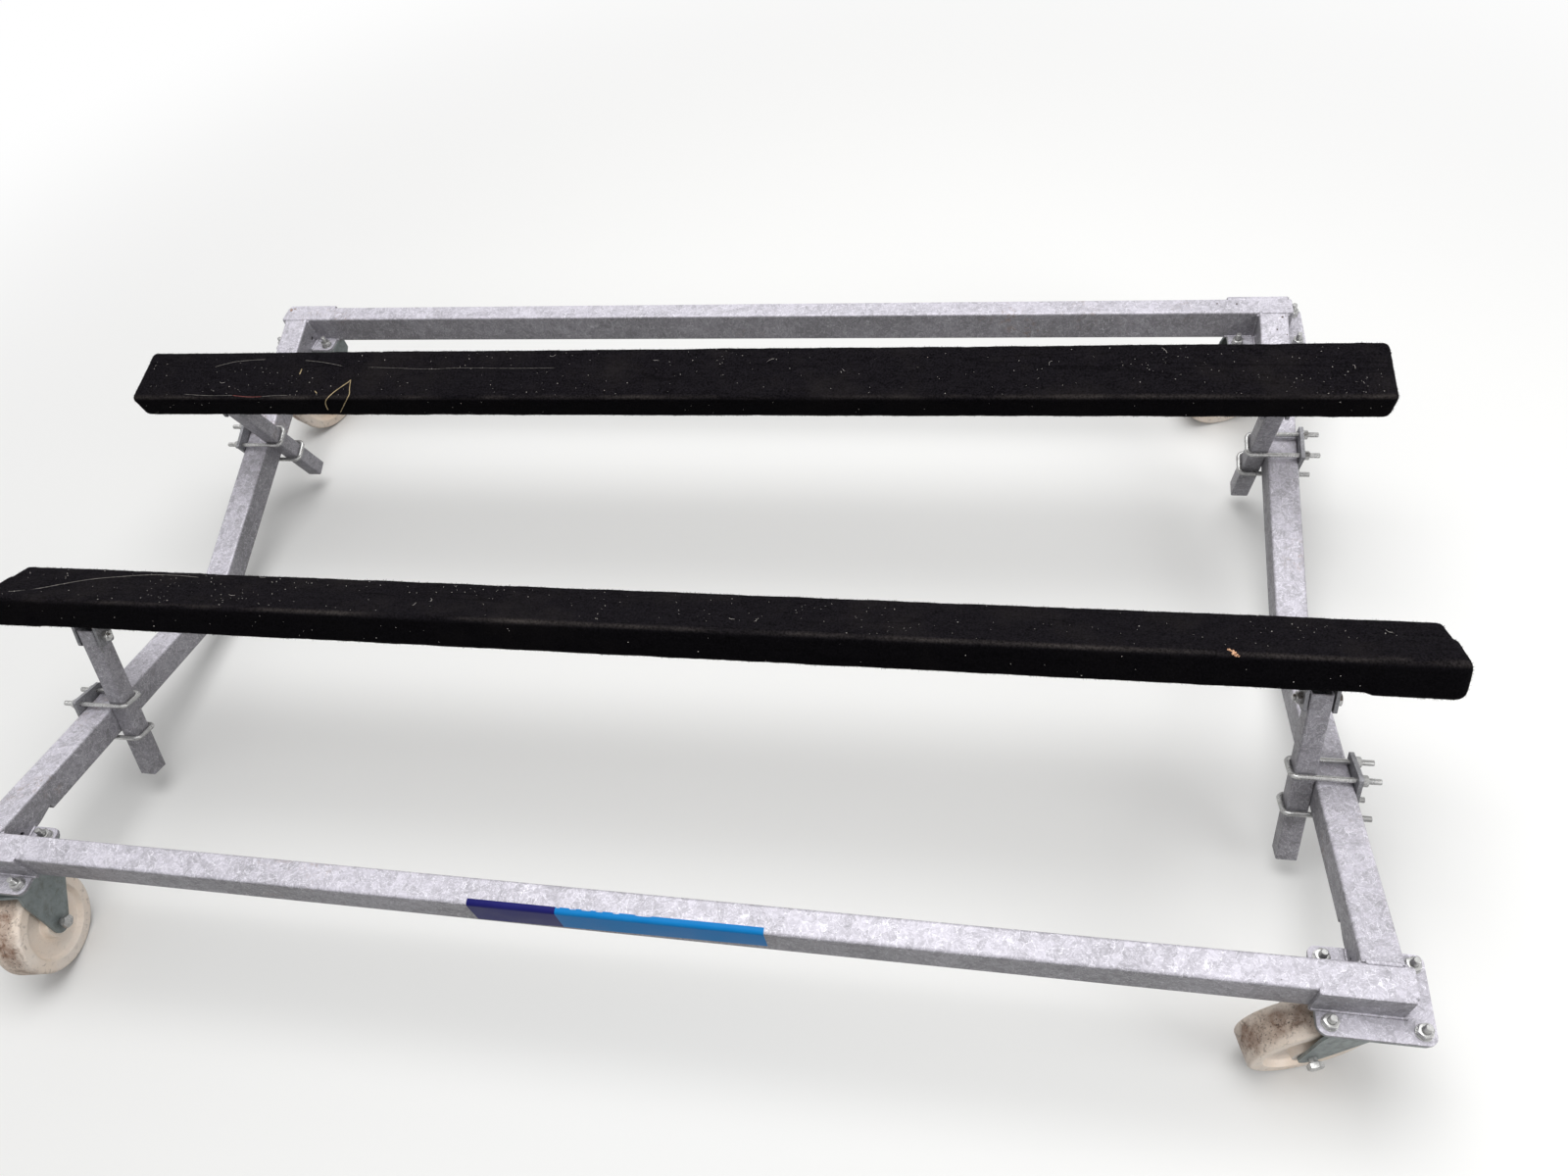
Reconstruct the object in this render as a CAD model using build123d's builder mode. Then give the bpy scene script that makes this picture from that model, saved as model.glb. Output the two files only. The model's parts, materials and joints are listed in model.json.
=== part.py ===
"""Boat storage trailer on four swivel castors.

Two rails and two V-shaped cross members make the frame. Four square posts are clamped to the cross
members by U-bolts and carry two carpeted bunks, which tilt about the bolts at the posts' tops.
Millimetres, +X along the rails, +Y from the front rail to the rear rail, +Z up, floor at Z = 0.
"""

import os
from math import atan2, cos, degrees, radians, sin, tan

from build123d import *

os.makedirs("parts", exist_ok=True)

# Frame
RAIL_LENGTH = 2050.0
FRAME_WIDTH = 1270.0  # over both rails
RAIL_WIDTH = 40.0
RAIL_HEIGHT = 60.0
RAIL_WALL = 3.0
RAIL_CORNER = 5.0
RAIL_END_ROUND = 4.0
ARM_SIZE = 50.0
ARM_WALL = 3.0
ARM_CORNER = 5.0
ARM_INSET = 10.0  # cross member's outer face in from the rail's end
ARM_DROP = 160.0  # of the V, from the rail to the middle
VENT_HOLE = 9.0
VENT_FROM_RAIL = 24.0
VENT_ABOVE_EDGE = 14.0

# Posts and their clamps
POST_SIZE = 30.0
POST_WALL = 2.5
POST_CORNER = 3.0
POST_LENGTH = 300.0
ROD = 8.0  # U-bolt rod
ROD_BEND = 9.0  # at the rod's middle
ROD_GAP = 0.3  # rod to the post's inner face
ROD_SIDE_GAP = 1.2  # rod to the post's other two faces
ROD_TAIL = 26.0  # thread beyond the clamp plate
U_BOLT_PITCH = 68.0  # from the upper to the lower U-bolt
CLAMP_PLATE = 6.0
CLAMP_MARGIN = 11.0  # hole's centre to the plate's edge
CLAMP_CORNER = 4.0
ROD_HOLE = 9.0

# Bunks
BUNK_OVERHANG = 66.0  # beyond the rail's end
BOARD_WIDTH = 106.0
BOARD_HEIGHT = 45.0
BOARD_ROUND = 6.0
CARPET = 4.0
CARPET_ROUND = 10.0
CARPET_TUCK = 20.0  # carpet's strip under each edge of the board
PIVOT_BOLT = 10.0
PIVOT_TO_POST_TOP = 16.2
PIVOT_TO_CROWN = 43.0
BRACKET_SHEET = 5.0
BRACKET_WIDTH = 30.0
BRACKET_SIDE_GAP = 2.0  # ear to post
EAR_DROP = 15.0  # ear below the bolt's middle
EAR_CORNER = 4.0
CROWN_LENGTH = 64.0
BOLT_HEAD_FLATS = 17.0
BOLT_HEAD = 6.5
BOLT_NUT = 8.0
BOLT_TAIL = 4.0
PIN_GAP = 0.08  # radial clearance round every turning pin

# Castors
CASTOR_HEIGHT = 200.0
CASTOR_TRAIL = 57.0
WHEEL_RADIUS = 80.0
WHEEL_WIDTH = 50.0
WHEEL_ROUND = 5.0
RIM_DEPTH = 19.0  # tread's thickness at the wheel's face
DISH_DEPTH = 9.0
DISH_SLOPE = 4.0  # rim's inner side, from the dish out to the face
HUB_RADIUS = 24.0
HUB_SLOPE = 2.0
HUB_WIDTH = 56.0
WHEEL_EDGES = (1.0, 1.0, 2.0, 2.0, 1.0, WHEEL_ROUND)  # from the bore out to the tread
AXLE_RADIUS = 6.0
PLATE_LENGTH = 135.0
PLATE_WIDTH = 110.0
PLATE_SHEET = 4.0
PLATE_CORNER = 15.0
HOLE_PITCH_LENGTH = 105.0
HOLE_PITCH_WIDTH = 80.0
HOLE = 11.0
CASTOR_IN = 38.0  # castor's middle from the rail's end
RACE_RADIUS = 39.0
RACE_DEPTH = 9.0
RACE_GAP = 0.3
PLATE_RACE_TAPER = 12
KINGPIN_RADIUS = 8.0
KINGPIN_HEAD_RADIUS = 13.0
KINGPIN_HEAD = 5.0
FORK_SHEET = 4.0
FORK_GAP = 58.0  # between the legs
FORK_CROWN_DROP = 18.0  # crown's top below the castor's top
FORK_CROWN_MARGIN = 3.0  # crown's front edge beyond the race
FORK_SHOULDER = 8.0  # leg's rear edge beyond the axle, under the crown
FORK_RACE_TAPER = 20
FORK_BEND = 7.0
FORK_EYE = 18.0
EYE_MEET = 30.0  # where the leg's front edge meets the eye, from straight down
AXLE_HEAD_FLATS = 19.0
AXLE_HEAD = 7.5
AXLE_NUT = 10.0

# Corner brackets
BRACKET_FLAT = 5.0
BRACKET_LEG_LENGTH = 107.0
BRACKET_LEG_FROM_END = 5.0
BRACKET_LEG_ROUND = 4.0
FLAT_FRONT_CORNER = 12.0
FLAT_BACK_CORNER = 10.0

FRONT, REAR = -1, 1
LEFT, RIGHT = -1, 1

# One row a post: name, side, end, pivot in from the rail's outer face, pivot above the frame's top,
# post's lean from upright
POSTS = (
    ("front_left", LEFT, FRONT, 368.0, 56.0, 22.5),
    ("front_right", RIGHT, FRONT, 382.0, 42.0, 22.0),
    ("rear_left", LEFT, REAR, 364.0, 55.0, 18.5),
    ("rear_right", RIGHT, REAR, 341.0, 52.0, 14.5),
)
# One row a bunk: name, end, shift along X, tilt towards the middle
BUNKS = (
    ("front", FRONT, 9.0, 25.0),
    ("rear", REAR, 9.0, 8.0),
)
# One row a castor: name, side, end, trail's direction from +X
CASTORS = (
    ("front_left", LEFT, FRONT, 279.0),
    ("front_right", RIGHT, FRONT, 197.0),
    ("rear_left", LEFT, REAR, 245.0),
    ("rear_right", RIGHT, REAR, 198.0),
)

FRAME_TOP = CASTOR_HEIGHT + RAIL_HEIGHT
CASTOR_OUT = FRAME_WIDTH / 2 - RAIL_WIDTH / 2
PLATE_OVERHANG = PLATE_WIDTH / 2 - RAIL_WIDTH / 2
ARM_FACE = RAIL_LENGTH / 2 - ARM_INSET  # cross member's outer face
ARM_INNER = ARM_FACE - ARM_SIZE
ARM_MIDDLE = ARM_FACE - ARM_SIZE / 2
ARM_RUN = FRAME_WIDTH / 2 - RAIL_WIDTH
ARM_SLOPE = degrees(atan2(ARM_DROP, ARM_RUN))
POST_X = ARM_INNER - POST_SIZE / 2
BUNK_LENGTH = RAIL_LENGTH + 2 * BUNK_OVERHANG
PIVOT_TO_BOARD = PIVOT_TO_CROWN + BRACKET_SHEET


def wheel_reach(end, heading):
    """How far a castor's wheel reaches in Y from the frame's middle, low and high."""
    middle = end * CASTOR_OUT + CASTOR_TRAIL * sin(radians(heading))
    half = (WHEEL_RADIUS - WHEEL_ROUND) * abs(sin(radians(heading)))
    half += (WHEEL_WIDTH / 2 - WHEEL_ROUND) * abs(cos(radians(heading))) + WHEEL_ROUND
    return middle - half, middle + half


# The row's origin is under the middle of the whole trailer's box, so the frame's middle is beside it
PLATE_EDGE = FRAME_WIDTH / 2 + PLATE_OVERHANG
REACHES = [wheel_reach(end, heading) for name, side, end, heading in CASTORS]
LOWEST_Y = min([-PLATE_EDGE] + [low for low, high in REACHES])
HIGHEST_Y = max([PLATE_EDGE] + [high for low, high in REACHES])
MID_Y = -(LOWEST_Y + HIGHEST_Y) / 2
BUNK_ENDS = [shift + side * BUNK_LENGTH / 2 for name, end, shift, tilt in BUNKS for side in (LEFT, RIGHT)]
MID_X = -(min(BUNK_ENDS) + max(BUNK_ENDS)) / 2


def leaning(end, angle):
    """Unit vector that leans from upright towards the frame's middle."""
    return Vector(0, -end * sin(radians(angle)), cos(radians(angle)))


def rail_face(end):
    """Y of a rail's outer face."""
    return MID_Y + end * FRAME_WIDTH / 2


def pivot_point(row):
    """Middle of the bolt at a post's top."""
    name, side, end, inset, height, lean = row
    return Vector(MID_X + side * POST_X, rail_face(end) - end * inset, FRAME_TOP + height)


def post_plane(row):
    """Plane across a post at its bolt, with Z along the post."""
    name, side, end, inset, height, lean = row
    return Plane(origin=pivot_point(row), x_dir=(1, 0, 0), z_dir=leaning(end, lean))


def bunk_pivots(row):
    """Middles of a bunk's left and right bolts."""
    name, end, shift, tilt = row
    return [pivot_point(post) for post in POSTS if post[2] == end]


def bunk_plane(row):
    """A bunk's own frame: X along the two bolts, Z out of its top face, at the bolts' middle."""
    name, end, shift, tilt = row
    a, b = bunk_pivots(row)
    along = (b - a).normalized()
    up = leaning(end, tilt)
    up = (up - along * up.dot(along)).normalized()
    return Plane(origin=(a + b) / 2, x_dir=along, z_dir=up)


def write(piece, label):
    """Labels a finished part and writes its STEP file."""
    piece.part.label = label
    export_step(piece.part, f"parts/{label}.step")


def make_rail(end):
    """Rectangular tube with closed, rounded ends and a vent into each cross member."""
    middle = rail_face(end) - end * RAIL_WIDTH / 2
    section = Plane(origin=(MID_X, middle, FRAME_TOP - RAIL_HEIGHT / 2), x_dir=(0, 1, 0), z_dir=(1, 0, 0))
    with BuildPart() as rail:
        with BuildSketch(section):
            RectangleRounded(RAIL_WIDTH, RAIL_HEIGHT, RAIL_CORNER)
        extrude(amount=RAIL_LENGTH / 2, both=True)
        fillet(rail.faces().filter_by(Axis.X).edges(), RAIL_END_ROUND)
        with BuildSketch(section):
            RectangleRounded(RAIL_WIDTH - 2 * RAIL_WALL, RAIL_HEIGHT - 2 * RAIL_WALL, RAIL_CORNER - RAIL_WALL)
        extrude(amount=RAIL_LENGTH / 2 - RAIL_WALL, both=True, mode=Mode.SUBTRACT)
        for side in (LEFT, RIGHT):
            vent = (MID_X + side * ARM_MIDDLE, middle - end * RAIL_WIDTH / 2, FRAME_TOP - ARM_SIZE / 2)
            with BuildSketch(Plane(origin=vent, z_dir=(0, end, 0))):
                Circle(VENT_HOLE / 2)
            extrude(amount=2 * RAIL_WALL, mode=Mode.SUBTRACT)
    return rail


def make_arm(side, end):
    """Half of a V-shaped cross member, mitred at the middle and cut to the rail's face."""
    inner = rail_face(end) - end * RAIL_WIDTH
    up = leaning(end, ARM_SLOPE)
    along = Vector(0, -end * cos(radians(ARM_SLOPE)), -sin(radians(ARM_SLOPE)))
    start = Vector(MID_X + side * ARM_MIDDLE, inner, FRAME_TOP) - up * (ARM_SIZE / 2)
    spare = ARM_SIZE
    low_edge = start - up * (ARM_SIZE / 2 - VENT_ABOVE_EDGE) + along * VENT_FROM_RAIL
    with BuildPart() as arm:
        with BuildSketch(Plane(origin=start - along * spare, x_dir=(1, 0, 0), z_dir=along)):
            RectangleRounded(ARM_SIZE, ARM_SIZE, ARM_CORNER)
            RectangleRounded(
                ARM_SIZE - 2 * ARM_WALL, ARM_SIZE - 2 * ARM_WALL, ARM_CORNER - ARM_WALL, mode=Mode.SUBTRACT
            )
        extrude(amount=ARM_RUN / cos(radians(ARM_SLOPE)) + 2 * spare)
        split(bisect_by=Plane(origin=(0, inner, 0), z_dir=(0, -end, 0)), keep=Keep.TOP)
        split(bisect_by=Plane(origin=(0, MID_Y, 0), z_dir=(0, end, 0)), keep=Keep.TOP)
        # The tube's underside is ground flat where it bears on the castor's plate
        seat_end = rail_face(end) + end * PLATE_OVERHANG - end * PLATE_WIDTH
        with BuildSketch(Plane.XY.offset(CASTOR_HEIGHT)):
            with Locations((MID_X + side * ARM_MIDDLE, seat_end)):
                Rectangle(2 * ARM_SIZE, 2 * RAIL_WIDTH)
        extrude(amount=-ARM_SIZE, mode=Mode.SUBTRACT)
        vent = (MID_X + side * ARM_INNER, low_edge.Y, low_edge.Z)
        with BuildSketch(Plane(origin=vent, z_dir=(side, 0, 0))):
            Circle(VENT_HOLE / 2)
        extrude(amount=2 * ARM_WALL, both=True, mode=Mode.SUBTRACT)
    return arm


def make_corner_bracket(side, end):
    """Flats and a tab welded round a corner, level with the rail's underside, and a leg on the rail."""

    def x(inward):
        return MID_X + side * (RAIL_LENGTH / 2 - inward)

    def y(inward):
        return rail_face(end) - end * inward

    out = CASTOR_IN - PLATE_LENGTH / 2
    far = CASTOR_IN + PLATE_LENGTH / 2
    front = -PLATE_OVERHANG
    back = front + PLATE_WIDTH
    with BuildPart() as bracket:
        with BuildSketch(Plane.XY.offset(CASTOR_HEIGHT)):
            with BuildLine():
                Polyline(
                    (x(out), y(front)),
                    (x(far), y(front)),
                    (x(far), y(0)),
                    (x(0), y(0)),
                    (x(0), y(RAIL_WIDTH)),
                    (x(ARM_INSET), y(RAIL_WIDTH)),
                    (x(ARM_INSET), y(back)),
                    (x(out), y(back)),
                    close=True,
                )
            make_face()
        extrude(amount=BRACKET_FLAT)
        upright = bracket.edges().filter_by(Axis.Z)
        fillet(upright.group_by(Axis((0, 0, 0), (0, end, 0)))[-1], FLAT_FRONT_CORNER)
        outer = bracket.edges().filter_by(Axis.Z).group_by(Axis((0, 0, 0), (side, 0, 0)))[-1]
        fillet(outer.sort_by(Axis((0, 0, 0), (0, end, 0)))[0], FLAT_BACK_CORNER)
        with BuildSketch(Plane.XY.offset(CASTOR_HEIGHT)):
            with BuildLine():
                Polyline(
                    (x(ARM_INSET + ARM_SIZE), y(RAIL_WIDTH)),
                    (x(far), y(RAIL_WIDTH)),
                    (x(far), y(back)),
                    (x(ARM_INSET + ARM_SIZE), y(back)),
                    close=True,
                )
            tab = make_face()
            fillet(tab.vertices().sort_by_distance((x(far), y(back), CASTOR_HEIGHT))[0], FLAT_BACK_CORNER)
        extrude(amount=BRACKET_FLAT)
        leg_middle = BRACKET_LEG_FROM_END + BRACKET_LEG_LENGTH / 2
        leg = Plane(origin=(x(leg_middle), y(0), CASTOR_HEIGHT), x_dir=(-end, 0, 0), z_dir=(0, end, 0))
        with BuildPart(mode=Mode.PRIVATE) as upstand:
            with BuildSketch(leg):
                with Locations((0, RAIL_HEIGHT / 2)):
                    Rectangle(BRACKET_LEG_LENGTH, RAIL_HEIGHT)
            extrude(amount=BRACKET_FLAT)
            top = upstand.faces().sort_by(Axis.Z)[-1]
            fillet(top.edges().sort_by(Axis((0, 0, 0), (0, end, 0)))[-1], BRACKET_LEG_ROUND)
        add(upstand.part)
        with Locations((x(CASTOR_IN), y(RAIL_WIDTH / 2), CASTOR_HEIGHT)):
            with GridLocations(HOLE_PITCH_LENGTH, HOLE_PITCH_WIDTH, 2, 2):
                Cylinder(HOLE / 2, 4 * BRACKET_FLAT, mode=Mode.SUBTRACT)
    return bracket


def make_post(row):
    """Square tube with cross holes for its bolt, which lie along the bunk's axis."""
    bunk = next(bunk for bunk in BUNKS if bunk[1] == row[2])
    axis = bunk_plane(bunk).x_dir
    with BuildPart() as post:
        with BuildSketch(post_plane(row).offset(PIVOT_TO_POST_TOP - POST_LENGTH)):
            RectangleRounded(POST_SIZE, POST_SIZE, POST_CORNER)
            RectangleRounded(
                POST_SIZE - 2 * POST_WALL, POST_SIZE - 2 * POST_WALL, POST_CORNER / 2, mode=Mode.SUBTRACT
            )
        extrude(amount=POST_LENGTH)
        with BuildSketch(Plane(origin=pivot_point(row), z_dir=axis)):
            Circle(PIVOT_BOLT / 2 + PIN_GAP)
        extrude(amount=POST_SIZE, both=True, mode=Mode.SUBTRACT)
    return post


def clamp_plane(row):
    """The post's frame moved down to where the post crosses the middle of the cross member."""
    name, side, end, inset, height, lean = row
    pivot = pivot_point(row)
    axis = leaning(end, lean)
    up = leaning(end, ARM_SLOPE)
    start = Vector(0, rail_face(end) - end * RAIL_WIDTH, FRAME_TOP) - up * (ARM_SIZE / 2)
    gap = (pivot - start).dot(up)
    return post_plane(row).offset(-gap / axis.dot(up))


def make_u_bolts(row):
    """Two U-bolts round the post, one above and one below the cross member."""
    side = row[1]
    half = POST_SIZE / 2 + ROD_SIDE_GAP + ROD / 2
    crown = -side * (POST_SIZE / 2 + ROD_GAP + ROD / 2)
    tail = side * (POST_SIZE / 2 + ARM_SIZE + CLAMP_PLATE + ROD_TAIL)
    frame = clamp_plane(row)
    with BuildPart() as bolts:
        for level in (-U_BOLT_PITCH / 2, U_BOLT_PITCH / 2):
            with BuildLine(frame.offset(level)):
                FilletPolyline((tail, -half), (crown, -half), (crown, half), (tail, half), radius=ROD_BEND)
            leg_end = frame.offset(level).from_local_coords((tail, -half, 0))
            with BuildSketch(Plane(origin=leg_end, z_dir=(-side, 0, 0))):
                Circle(ROD / 2)
            sweep(path=bolts.pending_edges_as_wire)
    return bolts


def make_clamp_plate(row):
    """Flat plate on the cross member's outer face, with four holes for the U-bolts' legs."""
    side = row[1]
    spacing = POST_SIZE + 2 * ROD_SIDE_GAP + ROD
    frame = clamp_plane(row)
    face = frame.from_local_coords((side * (POST_SIZE / 2 + ARM_SIZE), 0, 0))
    with BuildPart() as plate:
        with BuildSketch(Plane(origin=face, x_dir=frame.y_dir, z_dir=(side, 0, 0))):
            RectangleRounded(spacing + 2 * CLAMP_MARGIN, U_BOLT_PITCH + 2 * CLAMP_MARGIN, CLAMP_CORNER)
            with GridLocations(spacing, U_BOLT_PITCH, 2, 2):
                Circle(ROD_HOLE / 2, mode=Mode.SUBTRACT)
        extrude(amount=CLAMP_PLATE)
    return plate


def bunk_spots(row):
    """Local X of the two posts on a bunk."""
    a, b = bunk_pivots(row)
    half = (b - a).length / 2
    return -half, half


def make_bunk_bracket(row, spot):
    """Channel over a post's top: two ears, holed for the bolt, and a crown under the board."""
    frame = bunk_plane(row)
    frame.origin = frame.from_local_coords((spot, 0, 0))
    inner = POST_SIZE / 2 + BRACKET_SIDE_GAP
    with BuildPart() as bracket:
        with BuildSketch(Plane(origin=frame.origin, x_dir=frame.y_dir, z_dir=frame.x_dir)):
            with Locations((0, (PIVOT_TO_BOARD - EAR_DROP) / 2)):
                RectangleRounded(BRACKET_WIDTH, PIVOT_TO_BOARD + EAR_DROP, EAR_CORNER)
        extrude(amount=inner + BRACKET_SHEET, both=True)
        with BuildSketch(frame.offset(PIVOT_TO_CROWN)):
            RectangleRounded(2 * (inner + BRACKET_SHEET), CROWN_LENGTH, POST_CORNER)
        extrude(amount=BRACKET_SHEET)
        with BuildSketch(frame.offset(PIVOT_TO_CROWN)):
            Rectangle(2 * inner, 2 * CROWN_LENGTH)
        extrude(amount=-2 * CROWN_LENGTH, mode=Mode.SUBTRACT)
        with BuildSketch(Plane(origin=frame.origin, x_dir=frame.y_dir, z_dir=frame.x_dir)):
            Circle(PIVOT_BOLT / 2)
        extrude(amount=2 * inner, both=True, mode=Mode.SUBTRACT)
    return bracket


def make_pivot_bolt(row, spot):
    """Bolt through the ears and the post, with its head outside and its nut towards the middle."""
    frame = bunk_plane(row)
    toward = -1 if spot > 0 else 1
    face = POST_SIZE / 2 + BRACKET_SIDE_GAP + BRACKET_SHEET
    origin = frame.from_local_coords((spot, 0, 0))
    axis = frame.x_dir * toward
    across = Plane(origin=origin, x_dir=frame.y_dir, z_dir=axis)
    with BuildPart() as bolt:
        with BuildSketch(across.offset(-face)):
            Circle(PIVOT_BOLT / 2)
        extrude(amount=2 * face + BOLT_NUT + BOLT_TAIL)
        with BuildSketch(across.offset(-face)):
            RegularPolygon(BOLT_HEAD_FLATS / 2, 6, major_radius=False)
        extrude(amount=-BOLT_HEAD)
        with BuildSketch(across.offset(face)):
            RegularPolygon(BOLT_HEAD_FLATS / 2, 6, major_radius=False)
        extrude(amount=BOLT_NUT)
    return bolt


def make_board(row):
    """Timber of a bunk, with rounded edges."""
    name, end, shift, tilt = row
    frame = bunk_plane(row)
    length = BUNK_LENGTH - 2 * CARPET
    start = frame.from_local_coords((shift - length / 2, 0, PIVOT_TO_BOARD + BOARD_HEIGHT / 2))
    with BuildPart() as board:
        with BuildSketch(Plane(origin=start, x_dir=frame.y_dir, z_dir=frame.x_dir)):
            RectangleRounded(BOARD_WIDTH, BOARD_HEIGHT, BOARD_ROUND)
        extrude(amount=length)
    return board


def make_carpet(row):
    """Carpet glued round the board, folded over its ends and tucked under its edges."""
    name, end, shift, tilt = row
    frame = bunk_plane(row)
    width = BOARD_WIDTH + 2 * CARPET
    height = BOARD_HEIGHT + 2 * CARPET
    level = PIVOT_TO_BOARD + BOARD_HEIGHT / 2
    start = frame.from_local_coords((shift - BUNK_LENGTH / 2, 0, level))
    inner = frame.from_local_coords((shift - BUNK_LENGTH / 2 + CARPET, 0, level))
    under = frame.from_local_coords((shift, 0, PIVOT_TO_BOARD))
    with BuildPart() as carpet:
        with BuildSketch(Plane(origin=start, x_dir=frame.y_dir, z_dir=frame.x_dir)):
            RectangleRounded(width, height, CARPET_ROUND)
        extrude(amount=BUNK_LENGTH)
        with BuildSketch(Plane(origin=inner, x_dir=frame.y_dir, z_dir=frame.x_dir)):
            RectangleRounded(BOARD_WIDTH, BOARD_HEIGHT, BOARD_ROUND)
        extrude(amount=BUNK_LENGTH - 2 * CARPET, mode=Mode.SUBTRACT)
        with BuildSketch(Plane(origin=under, x_dir=frame.x_dir, z_dir=frame.z_dir)):
            Rectangle(BUNK_LENGTH - 2 * CARPET_TUCK, BOARD_WIDTH - 2 * CARPET_TUCK)
        extrude(amount=-2 * CARPET, mode=Mode.SUBTRACT)
    return carpet


def castor_plane(row, height):
    """A castor's own frame at a height: X along its trail, Z up the swivel's axis."""
    name, side, end, heading = row
    origin = (MID_X + side * (RAIL_LENGTH / 2 - CASTOR_IN), MID_Y + end * CASTOR_OUT, height)
    return Plane(origin=origin, x_dir=(cos(radians(heading)), sin(radians(heading)), 0), z_dir=(0, 0, 1))


def make_castor_plate(row):
    """Castor's top plate with its race and kingpin."""
    fixed = castor_plane(row[:3] + (0.0,), CASTOR_HEIGHT)
    race_end = PLATE_SHEET + RACE_DEPTH
    crown_under = FORK_CROWN_DROP + FORK_SHEET
    with BuildPart() as plate:
        with BuildSketch(fixed):
            RectangleRounded(PLATE_LENGTH, PLATE_WIDTH, PLATE_CORNER)
            with GridLocations(HOLE_PITCH_LENGTH, HOLE_PITCH_WIDTH, 2, 2):
                Circle(HOLE / 2, mode=Mode.SUBTRACT)
        extrude(amount=-PLATE_SHEET)
        with BuildSketch(fixed.offset(-PLATE_SHEET)):
            Circle(RACE_RADIUS)
        extrude(amount=-RACE_DEPTH, taper=PLATE_RACE_TAPER)
        with BuildSketch(fixed.offset(-race_end)):
            Circle(KINGPIN_RADIUS)
        extrude(amount=-(crown_under + RACE_GAP - race_end))
        with BuildSketch(fixed.offset(-(crown_under + RACE_GAP))):
            Circle(KINGPIN_HEAD_RADIUS)
        extrude(amount=-KINGPIN_HEAD)
    return plate


def make_fork(row):
    """Pressed fork: a crown with a raised race, and two legs that sweep back to the axle."""
    frame = castor_plane(row, 0.0)
    crown_top = CASTOR_HEIGHT - FORK_CROWN_DROP
    race_top = CASTOR_HEIGHT - PLATE_SHEET - RACE_DEPTH - RACE_GAP
    eye = (CASTOR_TRAIL, WHEEL_RADIUS)
    crown_front = -RACE_RADIUS - FORK_CROWN_MARGIN
    meet = radians(EYE_MEET)
    half = FORK_GAP / 2 + FORK_SHEET
    side_view = Plane(origin=frame.origin, x_dir=frame.x_dir, z_dir=-frame.y_dir)
    with BuildPart() as fork:
        with BuildSketch(side_view):
            with BuildLine():
                Polyline(
                    (crown_front, crown_top),
                    (CASTOR_TRAIL, crown_top),
                    (CASTOR_TRAIL + FORK_SHOULDER, crown_top - FORK_CROWN_DROP),
                    (CASTOR_TRAIL + FORK_EYE, WHEEL_RADIUS),
                    (CASTOR_TRAIL, WHEEL_RADIUS),
                    (CASTOR_TRAIL - FORK_EYE * sin(meet), WHEEL_RADIUS - FORK_EYE * cos(meet)),
                    (CASTOR_TRAIL - WHEEL_RADIUS, crown_top - WHEEL_RADIUS + FORK_EYE),
                    (crown_front, crown_top - 2 * FORK_EYE),
                    close=True,
                )
            make_face()
            with Locations(eye):
                Circle(FORK_EYE)
        extrude(amount=half, both=True)
        crown_edges = fork.edges().filter_by(Axis((0, 0, 0), tuple(frame.x_dir))).group_by(Axis.Z)[-1]
        fillet(crown_edges, FORK_BEND)
        with BuildSketch(Plane(origin=frame.origin, x_dir=frame.y_dir, z_dir=frame.x_dir)):
            with Locations((0, (crown_top - FORK_SHEET) / 2)):
                RectangleRounded(FORK_GAP, crown_top - FORK_SHEET, FORK_BEND - FORK_SHEET)
        extrude(amount=4 * WHEEL_RADIUS, both=True, mode=Mode.SUBTRACT)
        with BuildSketch(castor_plane(row, crown_top)):
            Circle(RACE_RADIUS)
        extrude(amount=race_top - crown_top, taper=FORK_RACE_TAPER)
        with BuildSketch(castor_plane(row, crown_top - FORK_SHEET)):
            Circle(KINGPIN_RADIUS + PIN_GAP)
        extrude(amount=CASTOR_HEIGHT, mode=Mode.SUBTRACT)
        with BuildSketch(side_view):
            with Locations(eye):
                Circle(AXLE_RADIUS)
        extrude(amount=2 * half, both=True, mode=Mode.SUBTRACT)
    return fork


def make_wheel(row):
    """Nylon wheel: flat tread with rounded edges, a dished web and a raised hub."""
    frame = castor_plane(row, WHEEL_RADIUS)
    centre = frame.from_local_coords((CASTOR_TRAIL, 0, 0))
    half, hub = WHEEL_WIDTH / 2, HUB_WIDTH / 2
    rim = WHEEL_RADIUS - RIM_DEPTH
    bore = AXLE_RADIUS + PIN_GAP
    section = Plane(origin=centre, x_dir=(0, 0, 1), z_dir=-frame.x_dir)
    with BuildPart() as wheel:
        with BuildSketch(section):
            with BuildLine():
                FilletPolyline(
                    (bore, 0),
                    (bore, hub),
                    (HUB_RADIUS, hub),
                    (HUB_RADIUS + HUB_SLOPE, half - DISH_DEPTH),
                    (rim - DISH_SLOPE, half - DISH_DEPTH),
                    (rim, half),
                    (WHEEL_RADIUS, half),
                    (WHEEL_RADIUS, 0),
                    radius=WHEEL_EDGES,
                )
                Line((WHEEL_RADIUS, 0), (bore, 0))
            make_face()
            mirror(about=Plane.XZ)
        revolve(axis=Axis(tuple(centre), tuple(frame.y_dir)))
    return wheel


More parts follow.
